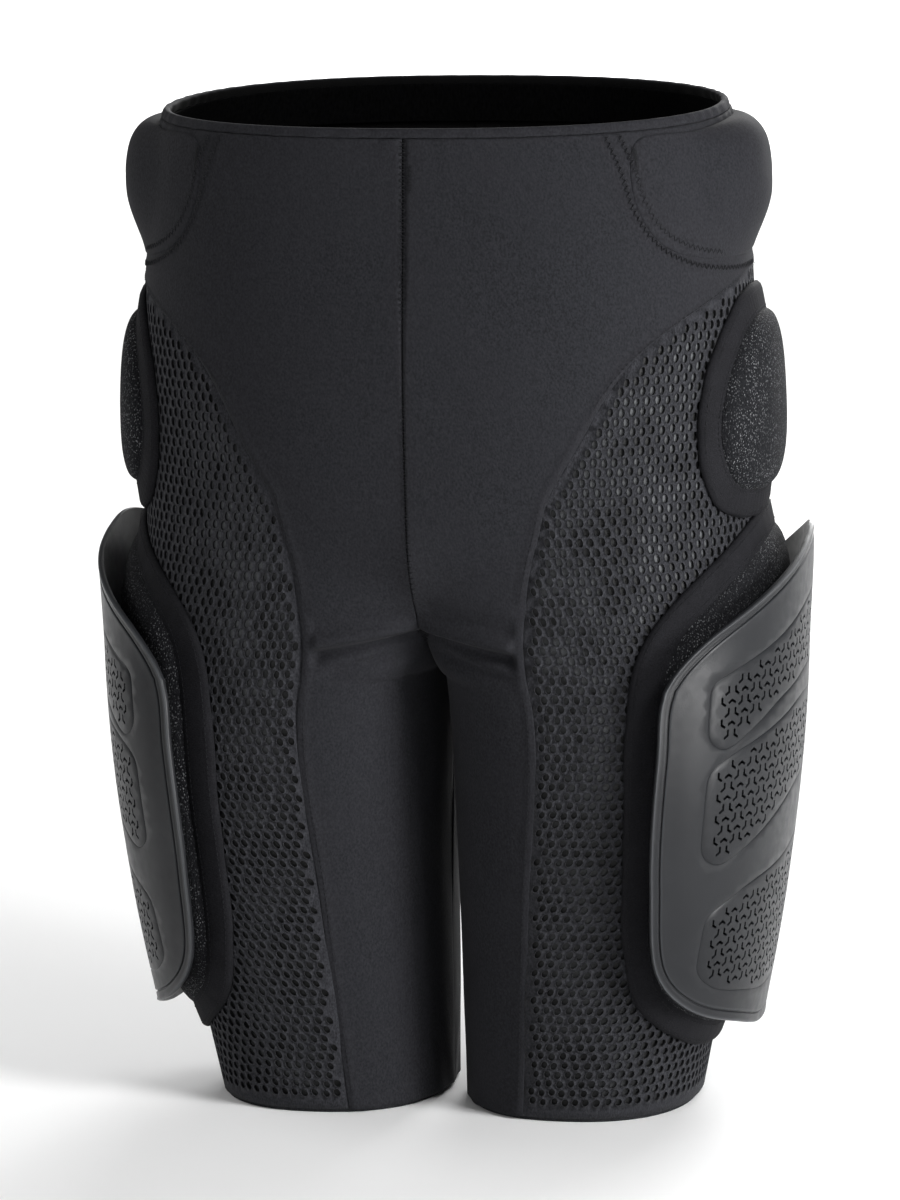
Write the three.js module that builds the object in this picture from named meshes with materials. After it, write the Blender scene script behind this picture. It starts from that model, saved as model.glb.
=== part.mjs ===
// Padded impact shorts for skiing and snowboarding, in the shape they have when worn.
// Millimetres, +Z up. The front faces -Y and the wearer's left is +X. The leg hems stand on z = 0.
//
// Every piece lies on one surface, the outside of the cloth. A place on it has two coordinates:
// "around" runs from 0 at the centre front (the inseam, on a leg) over 0.5 at the side seam to 1
// at the centre back (the inseam again), and "height" is the height above the hem. Cloth lies
// below that surface, and pads, covers, bindings and shells lie above it, as layers.

import * as THREE from 'three';

// ---------- overall sizes ----------
const WAIST_HEIGHT = 540; // hem to waist edge, at the side seam
const CROTCH_HEIGHT = 240;
const THIGH_HEIGHT = 120; // where the leg's own width is set
const HIP_HEIGHT = 380;
const SEAT_HEIGHT = 340;
const WAIST_DIP = 12; // how much lower the front of the waist is than the back
const LEG_GAP = 12; // between the two legs at the hem

// Half widths, and depths in front of and behind the leg axis, at the named heights.
const HALF_WIDTH = { hem: 131, thigh: 154, crotch: 166, hip: 165, waist: 150 };
const FRONT_DEPTH = { hem: 66, thigh: 85, crotch: 100, hip: 110, waist: 98 };
const BACK_DEPTH = { hem: 84, thigh: 100, crotch: 118, seat: 128, waist: 102 };
const SECTION_POWER = 2.3; // 2 is an ellipse, and more is squarer
const UPPER_WAIST_DROP = 26; // below the waist edge, where the body is full width again
const UPPER_WAIST_HALF_WIDTH = 159;
const BLEND_ABOVE_CROTCH = 80; // height in which the two leg tubes join at the middle
const BLEND_BELOW_CROTCH = 80; // how far below the crotch the outer thigh starts to change
const BLEND_ABOVE_THIGH = 110; // how far above the crotch it has become the torso
const SPREAD_ABOVE_CROTCH = 140; // height in which "around" becomes evenly spread on the torso

// ---------- cloth ----------
const CLOTH = 2.0; // jersey panels
const MESH_CLOTH = 1.4; // perforated side panels
const LINING = 1.0;
const SEAM_GAP = 0.4; // between two pieces that meet edge to edge
const LAYER_GAP = 0.3; // between two layers with the same facets
const FACET_GAP = 2.0; // between two layers whose facets differ
const HEM_BAND = 9; // height of the leg hem
const HEM_THICKNESS = 3.2;
const WAIST_EDGE = 5; // height of the folded edge round the waist
const ELASTIC_HEIGHT = 19;
const ELASTIC = 1.4;
const FACING = 1.0;

// Front and back edge of the perforated side panel, in units of "around". The first number is a
// share of the way from hem to crotch, and then of the way from the crotch to the panel's top.
const MESH_EDGES_ON_LEG = [[0, 0.2, 0.8], [0.5, 0.205, 0.795], [0.9, 0.215, 0.785]];
const MESH_EDGES_ON_HIP = [
  [0.17, 0.195, 0.78], [0.36, 0.16, 0.77], [0.5, 0.145, 0.76], [0.72, 0.195, 0.725],
  [0.85, 0.265, 0.685], [0.94, 0.37, 0.63], [1, 0.5, 0.55],
];
const SIDE_SEAM = 0.525; // where front and back panel meet above the mesh

// ---------- pads ----------
const GIRTH = 450; // one unit of "around", in millimetres along the cloth
const PAD_LIFT = 2.2; // between the cloth and whatever is sewn on it
const COVER = 1.2; // cover fabric of a pad
const CORE_SHARE = 0.93; // foam core's outline against its cover's
const CROWN_POWER = 4; // 2 is a round crown, and more is flatter in the middle
const BINDING_WIDTH = 8;
const BINDING_HEIGHT = 3.4;
const BINDING_OUTER_SHARE = 0.55; // height of its outer side against its highest part
const PAD_SPACING = 5; // between the hip pad and the thigh pad
const HIP_BONE = { drop: 8, height: 72, foam: 13 };
const HIP = { spacing: 12, height: 118, foam: 12.5 };
const THIGH = { bottom: 33, foam: 15 };
const TAILBONE = { bottom: 360, height: 142, foam: 13 };
const SHELL = 3.2; // thickness of the moulded shell
const SHELL_LIFT = 1.4; // between the pad cover and the shell
const SHELL_FLARE = 4; // how far the shell's top end stands off
const FLARED_SHARE = 0.25; // of the shell's height
const SHELL_MARGIN = 15; // of pad showing above and below the shell

// Outlines, from the lowest point round by the back: millimetres behind the side seam, and the
// share of the piece's height.
const HIP_BONE_OUTLINE = [
  [0, 0.01], [62, 0.05], [95, 0.2], [111, 0.5], [112, 0.9], [60, 0.98], [0, 1], [-60, 0.985],
  [-112, 0.95], [-117, 0.7], [-111, 0.4], [-96, 0.19], [-70, 0.08], [-34, 0.03],
];
const HIP_OUTLINE = [
  [5, 0.0], [45, 0.1], [68, 0.35], [66, 0.65], [42, 0.92], [5, 1],
  [-32, 0.93], [-60, 0.68], [-70, 0.36], [-52, 0.09],
];
const THIGH_OUTLINE = [
  [0, 0], [50, 0.02], [76, 0.12], [86, 0.4], [90, 0.72], [80, 0.87], [52, 0.965], [14, 1],
  [-18, 0.975], [-52, 0.906], [-74, 0.82], [-81, 0.72], [-82, 0.5], [-79, 0.22], [-68, 0.1],
  [-38, 0.03],
];
const SHELL_OUTLINE = [
  [5, 0], [40, 0.03], [66, 0.12], [76, 0.36], [80, 0.7], [70, 0.86], [44, 0.96], [16, 1],
  [-8, 0.965], [-40, 0.896], [-67, 0.815], [-80, 0.73], [-82, 0.6], [-82, 0.35], [-76, 0.16],
  [-60, 0.085], [-29, 0.035],
];
const TAILBONE_OUTLINE = [
  [0, 0], [30, 0.1], [52, 0.42], [62, 0.75], [44, 0.96],
  [0, 1], [-44, 0.96], [-62, 0.75], [-52, 0.42], [-30, 0.1],
];

// ---------- fineness ----------
const PANEL_COLUMNS = 9;
const LEG_ROWS = 5;
const RISE_ROWS = 4;
const TORSO_ROWS = 4;
const UPPER_ROWS = 3;
const HEM_SEGMENTS = 36;
const WAIST_SEGMENTS = 48;
const PAD_SEGMENTS = 26;
const COVER_RINGS = [0.36, 0.64, 0.82, CORE_SHARE, 1];
const SHELL_RINGS = [0.34, 0.62, 0.84, 1];

// ---------- materials ----------
const JERSEY = { color: 0x2b2c30, roughness: 0.85, metalness: 0 };
const MESH_FABRIC = { color: 0x34353a, roughness: 0.9, metalness: 0 };
const LINING_FABRIC = { color: 0x1b1b1e, roughness: 0.8, metalness: 0 };
const COVER_FABRIC = { color: 0x333438, roughness: 0.9, metalness: 0 };
const BINDING_TAPE = { color: 0x26262a, roughness: 0.8, metalness: 0 };
const FOAM = { color: 0x3d3e42, roughness: 0.95, metalness: 0 };
const RUBBER = { color: 0x202022, roughness: 0.7, metalness: 0 };
const PLASTIC = { color: 0x3a3b3f, roughness: 0.45, metalness: 0 };

// ---------- the surface of the cloth ----------

// A smooth curve through (position, value) pairs.
function smoothThrough(positions, values) {
  const last = positions.length - 1;
  const slopes = positions.map((position, i) => {
    const before = Math.max(i - 1, 0);
    const after = Math.min(i + 1, last);
    return (values[after] - values[before]) / (positions[after] - positions[before]);
  });
  return (position) => {
    let i = 0;
    while (i < last - 1 && position > positions[i + 1]) i += 1;
    const step = positions[i + 1] - positions[i];
    const t = (position - positions[i]) / step;
    const rise = values[i + 1] - values[i];
    const bend = (slopes[i] + slopes[i + 1]) * step - 2 * rise;
    return values[i] + t * (slopes[i] * step + t * (rise - slopes[i] * step - bend + t * bend));
  };
}

const upperWaistHeight = WAIST_HEIGHT - UPPER_WAIST_DROP;
const halfWidth = smoothThrough(
  [0, THIGH_HEIGHT, CROTCH_HEIGHT, HIP_HEIGHT, upperWaistHeight, WAIST_HEIGHT],
  [HALF_WIDTH.hem, HALF_WIDTH.thigh, HALF_WIDTH.crotch, HALF_WIDTH.hip,
    UPPER_WAIST_HALF_WIDTH, HALF_WIDTH.waist],
);
const frontDepth = smoothThrough(
  [0, THIGH_HEIGHT, CROTCH_HEIGHT, HIP_HEIGHT, WAIST_HEIGHT],
  [FRONT_DEPTH.hem, FRONT_DEPTH.thigh, FRONT_DEPTH.crotch, FRONT_DEPTH.hip, FRONT_DEPTH.waist],
);
const backDepth = smoothThrough(
  [0, THIGH_HEIGHT, CROTCH_HEIGHT, SEAT_HEIGHT, WAIST_HEIGHT],
  [BACK_DEPTH.hem, BACK_DEPTH.thigh, BACK_DEPTH.crotch, BACK_DEPTH.seat, BACK_DEPTH.waist],
);

// Half of the gap between the legs: it closes at the crotch.
function innerEdge(height) {
  const share = THREE.MathUtils.clamp(1 - height / CROTCH_HEIGHT, 0, 1);
  return SEAM_GAP + (LEG_GAP / 2 - SEAM_GAP) * Math.sqrt(share);
}

function rounded(value) {
  return Math.sign(value) * Math.abs(value) ** (2 / SECTION_POWER);
}

// One half of the body: a leg's closed loop low down, and half of the torso's loop higher up.
function halfBodyPoint(around, height) {
  const width = halfWidth(height);
  const front = frontDepth(height);
  const back = backDepth(height);
  const inner = innerEdge(height);
  const middle = (back - front) / 4; // where the section is widest
  const depthAt = (turn) => (turn > 0
    ? middle - (front + middle) * rounded(turn)
    : middle - (back - middle) * rounded(turn));

  const legAngle = 2 * Math.PI * around - Math.PI / 2;
  const legX = (width + inner) / 2 + ((width - inner) / 2) * rounded(Math.sin(legAngle));
  const legY = depthAt(Math.cos(legAngle));
  // Low on the torso a point keeps the distance from the middle that it has on the leg.
  const sameX = Math.asin((legX / width) ** (SECTION_POWER / 2));
  const kept = around <= 0.5 ? sameX : Math.PI - sameX;
  const evenness = THREE.MathUtils.smoothstep(height, CROTCH_HEIGHT, CROTCH_HEIGHT + SPREAD_ABOVE_CROTCH);
  const torsoAngle = THREE.MathUtils.lerp(kept, Math.PI * around, evenness);
  const sideways = Math.max(Math.sin(torsoAngle), 0);
  const torsoX = width * rounded(sideways);
  const torsoY = depthAt(Math.cos(torsoAngle));

  const rise = THREE.MathUtils.clamp((height - CROTCH_HEIGHT) / BLEND_ABOVE_CROTCH, 0, 1);
  const atMiddle = Math.sqrt(1 - (1 - rise) ** 2);
  const atSide = THREE.MathUtils.smoothstep(
    height, CROTCH_HEIGHT - BLEND_BELOW_CROTCH, CROTCH_HEIGHT + BLEND_ABOVE_THIGH,
  );
  const awayFromMiddle = Math.sin(Math.PI * around);
  const torso = THREE.MathUtils.lerp(atMiddle, atSide, 1 - (1 - awayFromMiddle) ** 2);
  return new THREE.Vector3(
    THREE.MathUtils.lerp(legX, torsoX, torso), THREE.MathUtils.lerp(legY, torsoY, torso), height,
  );
}

// The same surface past the middle: a leg's loop goes on round, and the torso is mirrored.
function bodyPoint(around, height) {
  const onLeg = height <= CROTCH_HEIGHT;
  if (onLeg) return halfBodyPoint(around - Math.floor(around), height);
  if (around >= 0 && around <= 1) return halfBodyPoint(around, height);
  const mirrored = halfBodyPoint(around < 0 ? -around : 2 - around, height);
  mirrored.x = -mirrored.x;
  return mirrored;
}

function outwards(around, height) {
  const stepAround = 0.001;
  const stepUp = 0.5;
  const across = bodyPoint(around + stepAround, height).sub(bodyPoint(around - stepAround, height));
  const up = bodyPoint(around, height + stepUp).sub(bodyPoint(around, height - stepUp));
  return across.cross(up).normalize();
}

// A point above the cloth's outside, or below it where lift is negative.
function layerPoint(around, height, lift) {
  return bodyPoint(around, height).addScaledVector(outwards(around, height), lift);
}

function waistEdgeHeight(around) {
  const towardsFront = (1 + Math.cos(Math.PI * around)) / 2;
  return WAIST_HEIGHT + WAIST_DIP * (0.5 - towardsFront);
}

// ---------- closed solids ----------

const LEFT = 1;
const RIGHT = -1;

// A closed mesh from a list of points and of quads or triangles that face outwards on the left
// side. On the right side it is mirrored.
function closedGeometry(points, faces, side = LEFT) {
  const positions = points.flatMap((point) => [side * point.x, point.y, point.z]);
  const index = [];
  faces.forEach((face) => {
    const corners = side === LEFT ? face : [face[0], ...face.slice(1).reverse()];
    for (let i = 2; i < corners.length; i += 1) index.push(corners[0], corners[i - 1], corners[i]);
  });
  const geometry = new THREE.BufferGeometry();
  geometry.setAttribute('position', new THREE.Float32BufferAttribute(positions, 3));
  geometry.setIndex(index);
  geometry.computeVertexNormals();
  return geometry;
}

// A sheet of cloth with a thickness. place(column share, row) gives [around, height].
function sheetGeometry({ rows, place, top, bottom, side }) {
  const columns = PANEL_COLUMNS;
  const points = [];
  const layers = [bottom, top];
  layers.forEach((lift) => {
    for (let row = 0; row <= rows; row += 1) {
      for (let column = 0; column <= columns; column += 1) {
        const [around, height] = place(column / columns, row);
        const point = layerPoint(around, height, lift);
        point.x = Math.max(point.x, SEAM_GAP / 2);
        points.push(point);
      }
    }
  });
  const layerSize = (rows + 1) * (columns + 1);
  const low = (column, row) => row * (columns + 1) + column;
  const high = (column, row) => layerSize + low(column, row);
  const faces = [];
  for (let row = 0; row < rows; row += 1) {
    for (let c = 0; c < columns; c += 1) {
      faces.push([high(c, row), high(c + 1, row), high(c + 1, row + 1), high(c, row + 1)]);
      faces.push([low(c, row), low(c, row + 1), low(c + 1, row + 1), low(c + 1, row)]);
    }
    faces.push([high(0, row), high(0, row + 1), low(0, row + 1), low(0, row)]);
    faces.push([high(columns, row + 1), high(columns, row), low(columns, row), low(columns, row + 1)]);
  }
  for (let c = 0; c < columns; c += 1) {
    faces.push([high(c + 1, 0), high(c, 0), low(c, 0), low(c + 1, 0)]);
    faces.push([high(c, rows), high(c + 1, rows), low(c + 1, rows), low(c, rows)]);
  }
  return closedGeometry(points, faces, side);
}

// A ring: corner(segment, corner number) is a point of a section that goes up on the outside and
// down on the inside.
function ringGeometry({ segments, corners, corner, side }) {
  const points = [];
  for (let segment = 0; segment < segments; segment += 1) {
    for (let k = 0; k < corners; k += 1) points.push(corner(segment, k));
  }
  const at = (segment, k) => (segment % segments) * corners + (k % corners);
  const faces = [];
  for (let segment = 0; segment < segments; segment += 1) {
    for (let k = 0; k < corners; k += 1) {
      faces.push([at(segment, k), at(segment + 1, k), at(segment + 1, k + 1), at(segment, k + 1)]);
    }
  }
  return closedGeometry(points, faces, side);
}

// A piece inside an outline: rings are shares of the outline, and top and bottom give the layer's
// lift for a ring's share and its place.
function capGeometry({ outline, rings, top, bottom, side }) {
  const points = [];
  [bottom, top].forEach((lift) => {
    const [middleAround, middleHeight] = outline.place(0, 0);
    points.push(layerPoint(middleAround, middleHeight, lift(0, middleHeight)));
    rings.forEach((share) => {
      for (let k = 0; k < PAD_SEGMENTS; k += 1) {
        const [around, height] = outline.place(share, k / PAD_SEGMENTS);
        points.push(layerPoint(around, height, lift(share, height)));
      }
    });
  });
  const layerSize = 1 + rings.length * PAD_SEGMENTS;
  const at = (layer, ring, k) => layer * layerSize + 1 + ring * PAD_SEGMENTS + (k % PAD_SEGMENTS);
  const faces = [];
  for (let k = 0; k < PAD_SEGMENTS; k += 1) {
    faces.push([layerSize, at(1, 0, k), at(1, 0, k + 1)]);
    faces.push([0, at(0, 0, k + 1), at(0, 0, k)]);
    for (let ring = 0; ring < rings.length - 1; ring += 1) {
      faces.push([at(1, ring, k), at(1, ring + 1, k), at(1, ring + 1, k + 1), at(1, ring, k + 1)]);
      faces.push([at(0, ring, k), at(0, ring, k + 1), at(0, ring + 1, k + 1), at(0, ring + 1, k)]);
    }
    const rim = rings.length - 1;
    faces.push([at(1, rim, k + 1), at(1, rim, k), at(0, rim, k), at(0, rim, k + 1)]);
  }
  return closedGeometry(points, faces, side);
}

// ---------- outlines on the cloth ----------

// A closed smooth outline. place(share, turn) is a point on the outline drawn in to that share,
// as [around, height], and offset(turn, distance) is a point that far outside the outline.
function makeOutline(corners, { height, seam = 0.5, lowest }) {
  const bottomOf = typeof lowest === 'function' ? lowest : () => lowest;
  const curve = new THREE.CatmullRomCurve3(
    corners.map(([behind, share]) => new THREE.Vector3(behind, share * height, 0)), true,
  );
  const centre = new THREE.Vector3();
  new THREE.Box3().setFromPoints(curve.getSpacedPoints(PAD_SEGMENTS * 4)).getCenter(centre);
  const onCloth = (point) => {
    const around = seam + point.x / GIRTH;
    return [around, bottomOf(around) + point.y];
  };
  return {
    place: (share, turn) => onCloth(curve.getPointAt(turn).sub(centre).multiplyScalar(share).add(centre)),
    offset: (turn, distance) => {
      const tangent = curve.getTangentAt(turn);
      const outward = new THREE.Vector3(tangent.y, -tangent.x, 0);
      return onCloth(curve.getPointAt(turn).addScaledVector(outward, distance));
    },
  };
}

const hipBoneHeightFrom = (around) => waistEdgeHeight(around) - HIP_BONE.drop - HIP_BONE.height;
const hipTop = WAIST_HEIGHT - HIP_BONE.drop - HIP_BONE.height - HIP.spacing - BINDING_WIDTH;
const hipBottom = hipTop - HIP.height + 2 * BINDING_WIDTH;
const thighTop = hipBottom - PAD_SPACING - 2 * BINDING_WIDTH;
const thighBottom = THIGH.bottom + BINDING_WIDTH;
const shellBottom = thighBottom + SHELL_MARGIN - BINDING_WIDTH;
const shellTop = thighTop;
const meshTop = hipTop + BINDING_WIDTH + HIP.spacing / 2;

const hipBoneOutline = makeOutline(HIP_BONE_OUTLINE, {
  height: HIP_BONE.height, lowest: hipBoneHeightFrom,
});
const hipOutline = makeOutline(HIP_OUTLINE, { height: hipTop - hipBottom, lowest: hipBottom });
const thighOutline = makeOutline(THIGH_OUTLINE, {
  height: thighTop - thighBottom, lowest: thighBottom,
});
const shellOutline = makeOutline(SHELL_OUTLINE, {
  height: shellTop - shellBottom, lowest: shellBottom,
});
const tailboneOutline = makeOutline(TAILBONE_OUTLINE, {
  height: TAILBONE.height, lowest: TAILBONE.bottom, seam: 1,
});

// ---------- panels ----------

const meshEdges = [
  ...MESH_EDGES_ON_LEG.map(([share, front, back]) => [share * CROTCH_HEIGHT, front, back]),
  ...MESH_EDGES_ON_HIP.map(([share, front, back]) => [
    CROTCH_HEIGHT + share * (meshTop - CROTCH_HEIGHT), front, back,
  ]),
];
const meshEdgeHeights = meshEdges.map(([height]) => height);
const meshFrontEdge = smoothThrough(meshEdgeHeights, meshEdges.map(([, front]) => front));
const meshBackEdge = smoothThrough(meshEdgeHeights, meshEdges.map(([, , back]) => back));

// Heights of the rows of facets: closer together where the legs part.
const meshRows = [];
for (let i = 0; i <= LEG_ROWS; i += 1) {
  meshRows.push(HEM_BAND + SEAM_GAP + (CROTCH_HEIGHT - HEM_BAND - SEAM_GAP) * (i / LEG_ROWS));
}
for (let i = 1; i <= RISE_ROWS; i += 1) {
  meshRows.push(CROTCH_HEIGHT + BLEND_ABOVE_CROTCH * (i / RISE_ROWS) ** 2);
}
const firstTorsoRow = meshRows[meshRows.length - 1];
for (let i = 1; i <= TORSO_ROWS; i += 1) {
  meshRows.push(firstTorsoRow + (meshTop - firstTorsoRow) * (i / TORSO_ROWS));
}
const panelRowCount = meshRows.length - 1 + UPPER_ROWS;
const seamStep = SEAM_GAP / 2 / GIRTH;

function frontPanelEnd(row) {
  return row < meshRows.length ? Math.min(meshFrontEdge(meshRows[row]), SIDE_SEAM) : SIDE_SEAM;
}

function backPanelEnd(row) {
  return row < meshRows.length ? Math.max(meshBackEdge(meshRows[row]), SIDE_SEAM) : SIDE_SEAM;
}

// The height of a row of a jersey panel: the upper rows end just under the waist's folded edge.
function panelRowHeight(around, row) {
  if (row < meshRows.length) return meshRows[row];
  const top = waistEdgeHeight(around) - WAIST_EDGE - SEAM_GAP;
  return THREE.MathUtils.lerp(meshTop, top, (row - meshRows.length + 1) / UPPER_ROWS);
}

function jerseyPanel(start, end, side) {
  const place = (share, row) => {
    const around = THREE.MathUtils.lerp(start(row) + seamStep, end(row) - seamStep, share);
    return [around, panelRowHeight(around, row)];
  };
  return sheetGeometry({ rows: panelRowCount, place, top: 0, bottom: -CLOTH, side });
}

const frontPanel = (side) => jerseyPanel(() => 0, frontPanelEnd, side);
const backPanel = (side) => jerseyPanel(backPanelEnd, () => 1, side);

function meshPanel(side, top, bottom) {
  const rows = meshRows.length - 1;
  const place = (share, row) => {
    const height = row === rows ? meshTop - SEAM_GAP : meshRows[row];
    const start = meshFrontEdge(meshRows[row]) + 2 * seamStep;
    const end = meshBackEdge(meshRows[row]) - 2 * seamStep;
    return [THREE.MathUtils.lerp(start, end, share), height];
  };
  return sheetGeometry({ rows, place, top, bottom, side });
}

const sideMeshPanel = (side) => meshPanel(side, 0, -MESH_CLOTH);
const sideLining = (side) => meshPanel(side, -MESH_CLOTH - LAYER_GAP, -MESH_CLOTH - LAYER_GAP - LINING);

// ---------- hems and waist ----------

function legHem(side) {
  const section = [[0, 0], [0, HEM_BAND], [-HEM_THICKNESS, HEM_BAND], [-HEM_THICKNESS, 0]];
  const corner = (segment, k) => {
    const [lift, height] = section[k];
    return layerPoint(segment / HEM_SEGMENTS, HEM_BAND / 2, lift).setZ(height);
  };
  return ringGeometry({ segments: HEM_SEGMENTS, corners: section.length, corner, side });
}

// A ring at the waist: drops are measured down from the waist edge.
function waistRing(topLift, bottomLift, topDrop, bottomDrop) {
  const section = [
    [topLift, bottomDrop], [topLift, topDrop], [bottomLift, topDrop], [bottomLift, bottomDrop],
  ];
  const corner = (segment, k) => {
    const around = (2 * segment) / WAIST_SEGMENTS;
    const [lift, drop] = section[k];
    return layerPoint(around, waistEdgeHeight(around) - drop, lift);
  };
  return ringGeometry({ segments: WAIST_SEGMENTS, corners: section.length, corner });
}

const elasticTop = -CLOTH - FACET_GAP;
const facingTop = elasticTop - ELASTIC - LAYER_GAP;
const facingBottom = facingTop - FACING;
const waistFoldedEdge = () => waistRing(0, facingBottom, 0, WAIST_EDGE);
const waistElastic = () => waistRing(
  elasticTop, elasticTop - ELASTIC, WAIST_EDGE + SEAM_GAP, WAIST_EDGE + SEAM_GAP + ELASTIC_HEIGHT,
);
const waistFacing = () => waistRing(
  facingTop, facingBottom, WAIST_EDGE + SEAM_GAP, WAIST_EDGE + 2 * SEAM_GAP + ELASTIC_HEIGHT,
);

// ---------- pads ----------

// Height of a pad's foam at a share of its outline: a flat crown with a rounded edge.
const crown = (foam, share) => foam * Math.sqrt(1 - share ** CROWN_POWER);

function padCore(outline, foam, side) {
  return capGeometry({
    outline,
    rings: COVER_RINGS.slice(0, -1),
    bottom: () => PAD_LIFT,
    top: (share) => PAD_LIFT + crown(foam, share),
    side,
  });
}

function padCover(outline, foam, side) {
  const coverBottom = (share) => PAD_LIFT + LAYER_GAP + crown(foam, share);
  return capGeometry({
    outline,
    rings: COVER_RINGS,
    bottom: coverBottom,
    top: (share) => coverBottom(share) + COVER,
    side,
  });
}

// A sewn tape round a pad: flat below, and highest next to the pad.
function padBinding(outline, side) {
  const inner = SEAM_GAP;
  const outer = BINDING_WIDTH;
  const high = PAD_LIFT + BINDING_HEIGHT;
  const section = [
    [inner, PAD_LIFT], [outer, PAD_LIFT], [outer, PAD_LIFT + BINDING_HEIGHT * BINDING_OUTER_SHARE],
    [(inner + outer) / 2, high], [inner, high],
  ];
  const corner = (segment, k) => {
    const [distance, lift] = section[k];
    const [around, height] = outline.offset(segment / PAD_SEGMENTS, distance);
    return layerPoint(around, height, lift);
  };
  return ringGeometry({ segments: PAD_SEGMENTS, corners: section.length, corner, side });
}

// The hard shell over the thigh pad: its top end stands off.
function thighShell(side) {
  const seat = PAD_LIFT + LAYER_GAP + THIGH.foam + COVER + SHELL_LIFT;
  const flareFrom = shellTop - (shellTop - shellBottom) * FLARED_SHARE;
  const bottom = (share, height) => (
    seat + SHELL_FLARE * THREE.MathUtils.smoothstep(height, flareFrom, shellTop)
  );
  return capGeometry({
    outline: shellOutline,
    rings: SHELL_RINGS,
    bottom,
    top: (share, height) => bottom(share, height) + SHELL,
    side,
  });
}

// ---------- assembly ----------

const shorts = new THREE.Group();

function add(name, geometry, finish) {
  const mesh = new THREE.Mesh(geometry, new THREE.MeshStandardMaterial(finish));
  mesh.name = name;
  shorts.add(mesh);
}

[['left', LEFT], ['right', RIGHT]].forEach(([name, side]) => {
  add(`${name}_front_panel`, frontPanel(side), JERSEY);
  add(`${name}_back_panel`, backPanel(side), JERSEY);
  add(`${name}_side_mesh_panel`, sideMeshPanel(side), MESH_FABRIC);
  add(`${name}_side_lining`, sideLining(side), LINING_FABRIC);
  add(`${name}_leg_hem`, legHem(side), RUBBER);
  add(`${name}_hip_bone_pad_foam`, padCore(hipBoneOutline, HIP_BONE.foam, side), FOAM);
  add(`${name}_hip_bone_pad_pocket`, padCover(hipBoneOutline, HIP_BONE.foam, side), JERSEY);
  add(`${name}_hip_pad_foam`, padCore(hipOutline, HIP.foam, side), FOAM);
  add(`${name}_hip_pad_cover`, padCover(hipOutline, HIP.foam, side), COVER_FABRIC);
  add(`${name}_hip_pad_binding`, padBinding(hipOutline, side), BINDING_TAPE);
  add(`${name}_thigh_pad_foam`, padCore(thighOutline, THIGH.foam, side), FOAM);
  add(`${name}_thigh_pad_cover`, padCover(thighOutline, THIGH.foam, side), COVER_FABRIC);
  add(`${name}_thigh_pad_binding`, padBinding(thighOutline, side), BINDING_TAPE);
  add(`${name}_thigh_shell`, thighShell(side), PLASTIC);
});
add('waist_folded_edge', waistFoldedEdge(), JERSEY);
add('waist_elastic', waistElastic(), RUBBER);
add('waist_facing', waistFacing(), LINING_FABRIC);
add('tailbone_pad_foam', padCore(tailboneOutline, TAILBONE.foam, LEFT), FOAM);
add('tailbone_pad_cover', padCover(tailboneOutline, TAILBONE.foam, LEFT), COVER_FABRIC);
add('tailbone_pad_binding', padBinding(tailboneOutline, LEFT), BINDING_TAPE);

// The origin is under the middle of the whole object.
const box = new THREE.Box3().setFromObject(shorts, true);
shorts.position.y = -(box.min.y + box.max.y) / 2;
shorts.updateMatrixWorld(true);

export default shorts;
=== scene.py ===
"""Padded impact shorts for skiing and snowboarding, in the shape they have when worn.

Metres, +Z up. The front faces -Y and the wearer's left is +X. The leg hems stand on z = 0.

Every piece lies on one surface, the outside of the cloth. A place on it has two coordinates:
"around" runs from 0 at the centre front (the inseam, on a leg) over 0.5 at the side seam to 1 at
the centre back (the inseam again), and "height" is the height above the hem. Cloth lies below
that surface, and pads, bindings and shells lie above it, at a "lift" from it.
"""

import math

import bpy
import numpy as np
from mathutils import Matrix, Vector
from mathutils.geometry import delaunay_2d_cdt


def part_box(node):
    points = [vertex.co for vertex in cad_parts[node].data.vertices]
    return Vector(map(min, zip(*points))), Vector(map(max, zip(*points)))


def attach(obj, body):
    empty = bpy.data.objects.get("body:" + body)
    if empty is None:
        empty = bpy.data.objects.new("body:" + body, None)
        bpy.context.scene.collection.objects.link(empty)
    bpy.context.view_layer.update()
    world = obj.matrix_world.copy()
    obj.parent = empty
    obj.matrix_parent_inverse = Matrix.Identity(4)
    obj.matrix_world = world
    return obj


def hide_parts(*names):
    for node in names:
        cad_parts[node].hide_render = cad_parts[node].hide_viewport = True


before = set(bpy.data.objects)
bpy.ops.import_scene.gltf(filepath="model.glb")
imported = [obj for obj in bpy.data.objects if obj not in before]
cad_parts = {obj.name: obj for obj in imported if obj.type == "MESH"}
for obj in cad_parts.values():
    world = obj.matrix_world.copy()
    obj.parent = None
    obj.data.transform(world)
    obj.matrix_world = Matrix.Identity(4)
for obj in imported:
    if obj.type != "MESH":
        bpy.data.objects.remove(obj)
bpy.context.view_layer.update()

# ---------- overall sizes, as in the part ----------
WAIST_HEIGHT = 0.540
CROTCH_HEIGHT = 0.240
WAIST_DIP = 0.012
LEG_GAP = 0.012
SECTION_POWER = 2.3
BLEND_ABOVE_CROTCH = 0.080
BLEND_BELOW_CROTCH = 0.080
BLEND_ABOVE_THIGH = 0.110
SPREAD_ABOVE_CROTCH = 0.140
GIRTH = 0.450
SEAM_GAP = 0.0004
CLOTH = 0.0020
MESH_CLOTH = 0.0014
LINING = 0.0010
HEM_BAND = 0.009
HEM_THICKNESS = 0.0030
HEM_SHOWN = 0.0022  # of the hem tape, below the panels that are folded over it
WAIST_EDGE = 0.005
ELASTIC_HEIGHT = 0.019
PAD_LIFT = 0.0022
COVER = 0.0012
LAYER_GAP = 0.0003
BINDING_WIDTH = 0.008
SHELL = 0.0032
SHELL_LIFT = 0.0014
SHELL_FLARE = 0.0025
THIGH_FOAM = 0.015
MESH_TOP = 0.454
SIDE_SEAM = 0.525
LEFT, RIGHT = 1, -1
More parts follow.
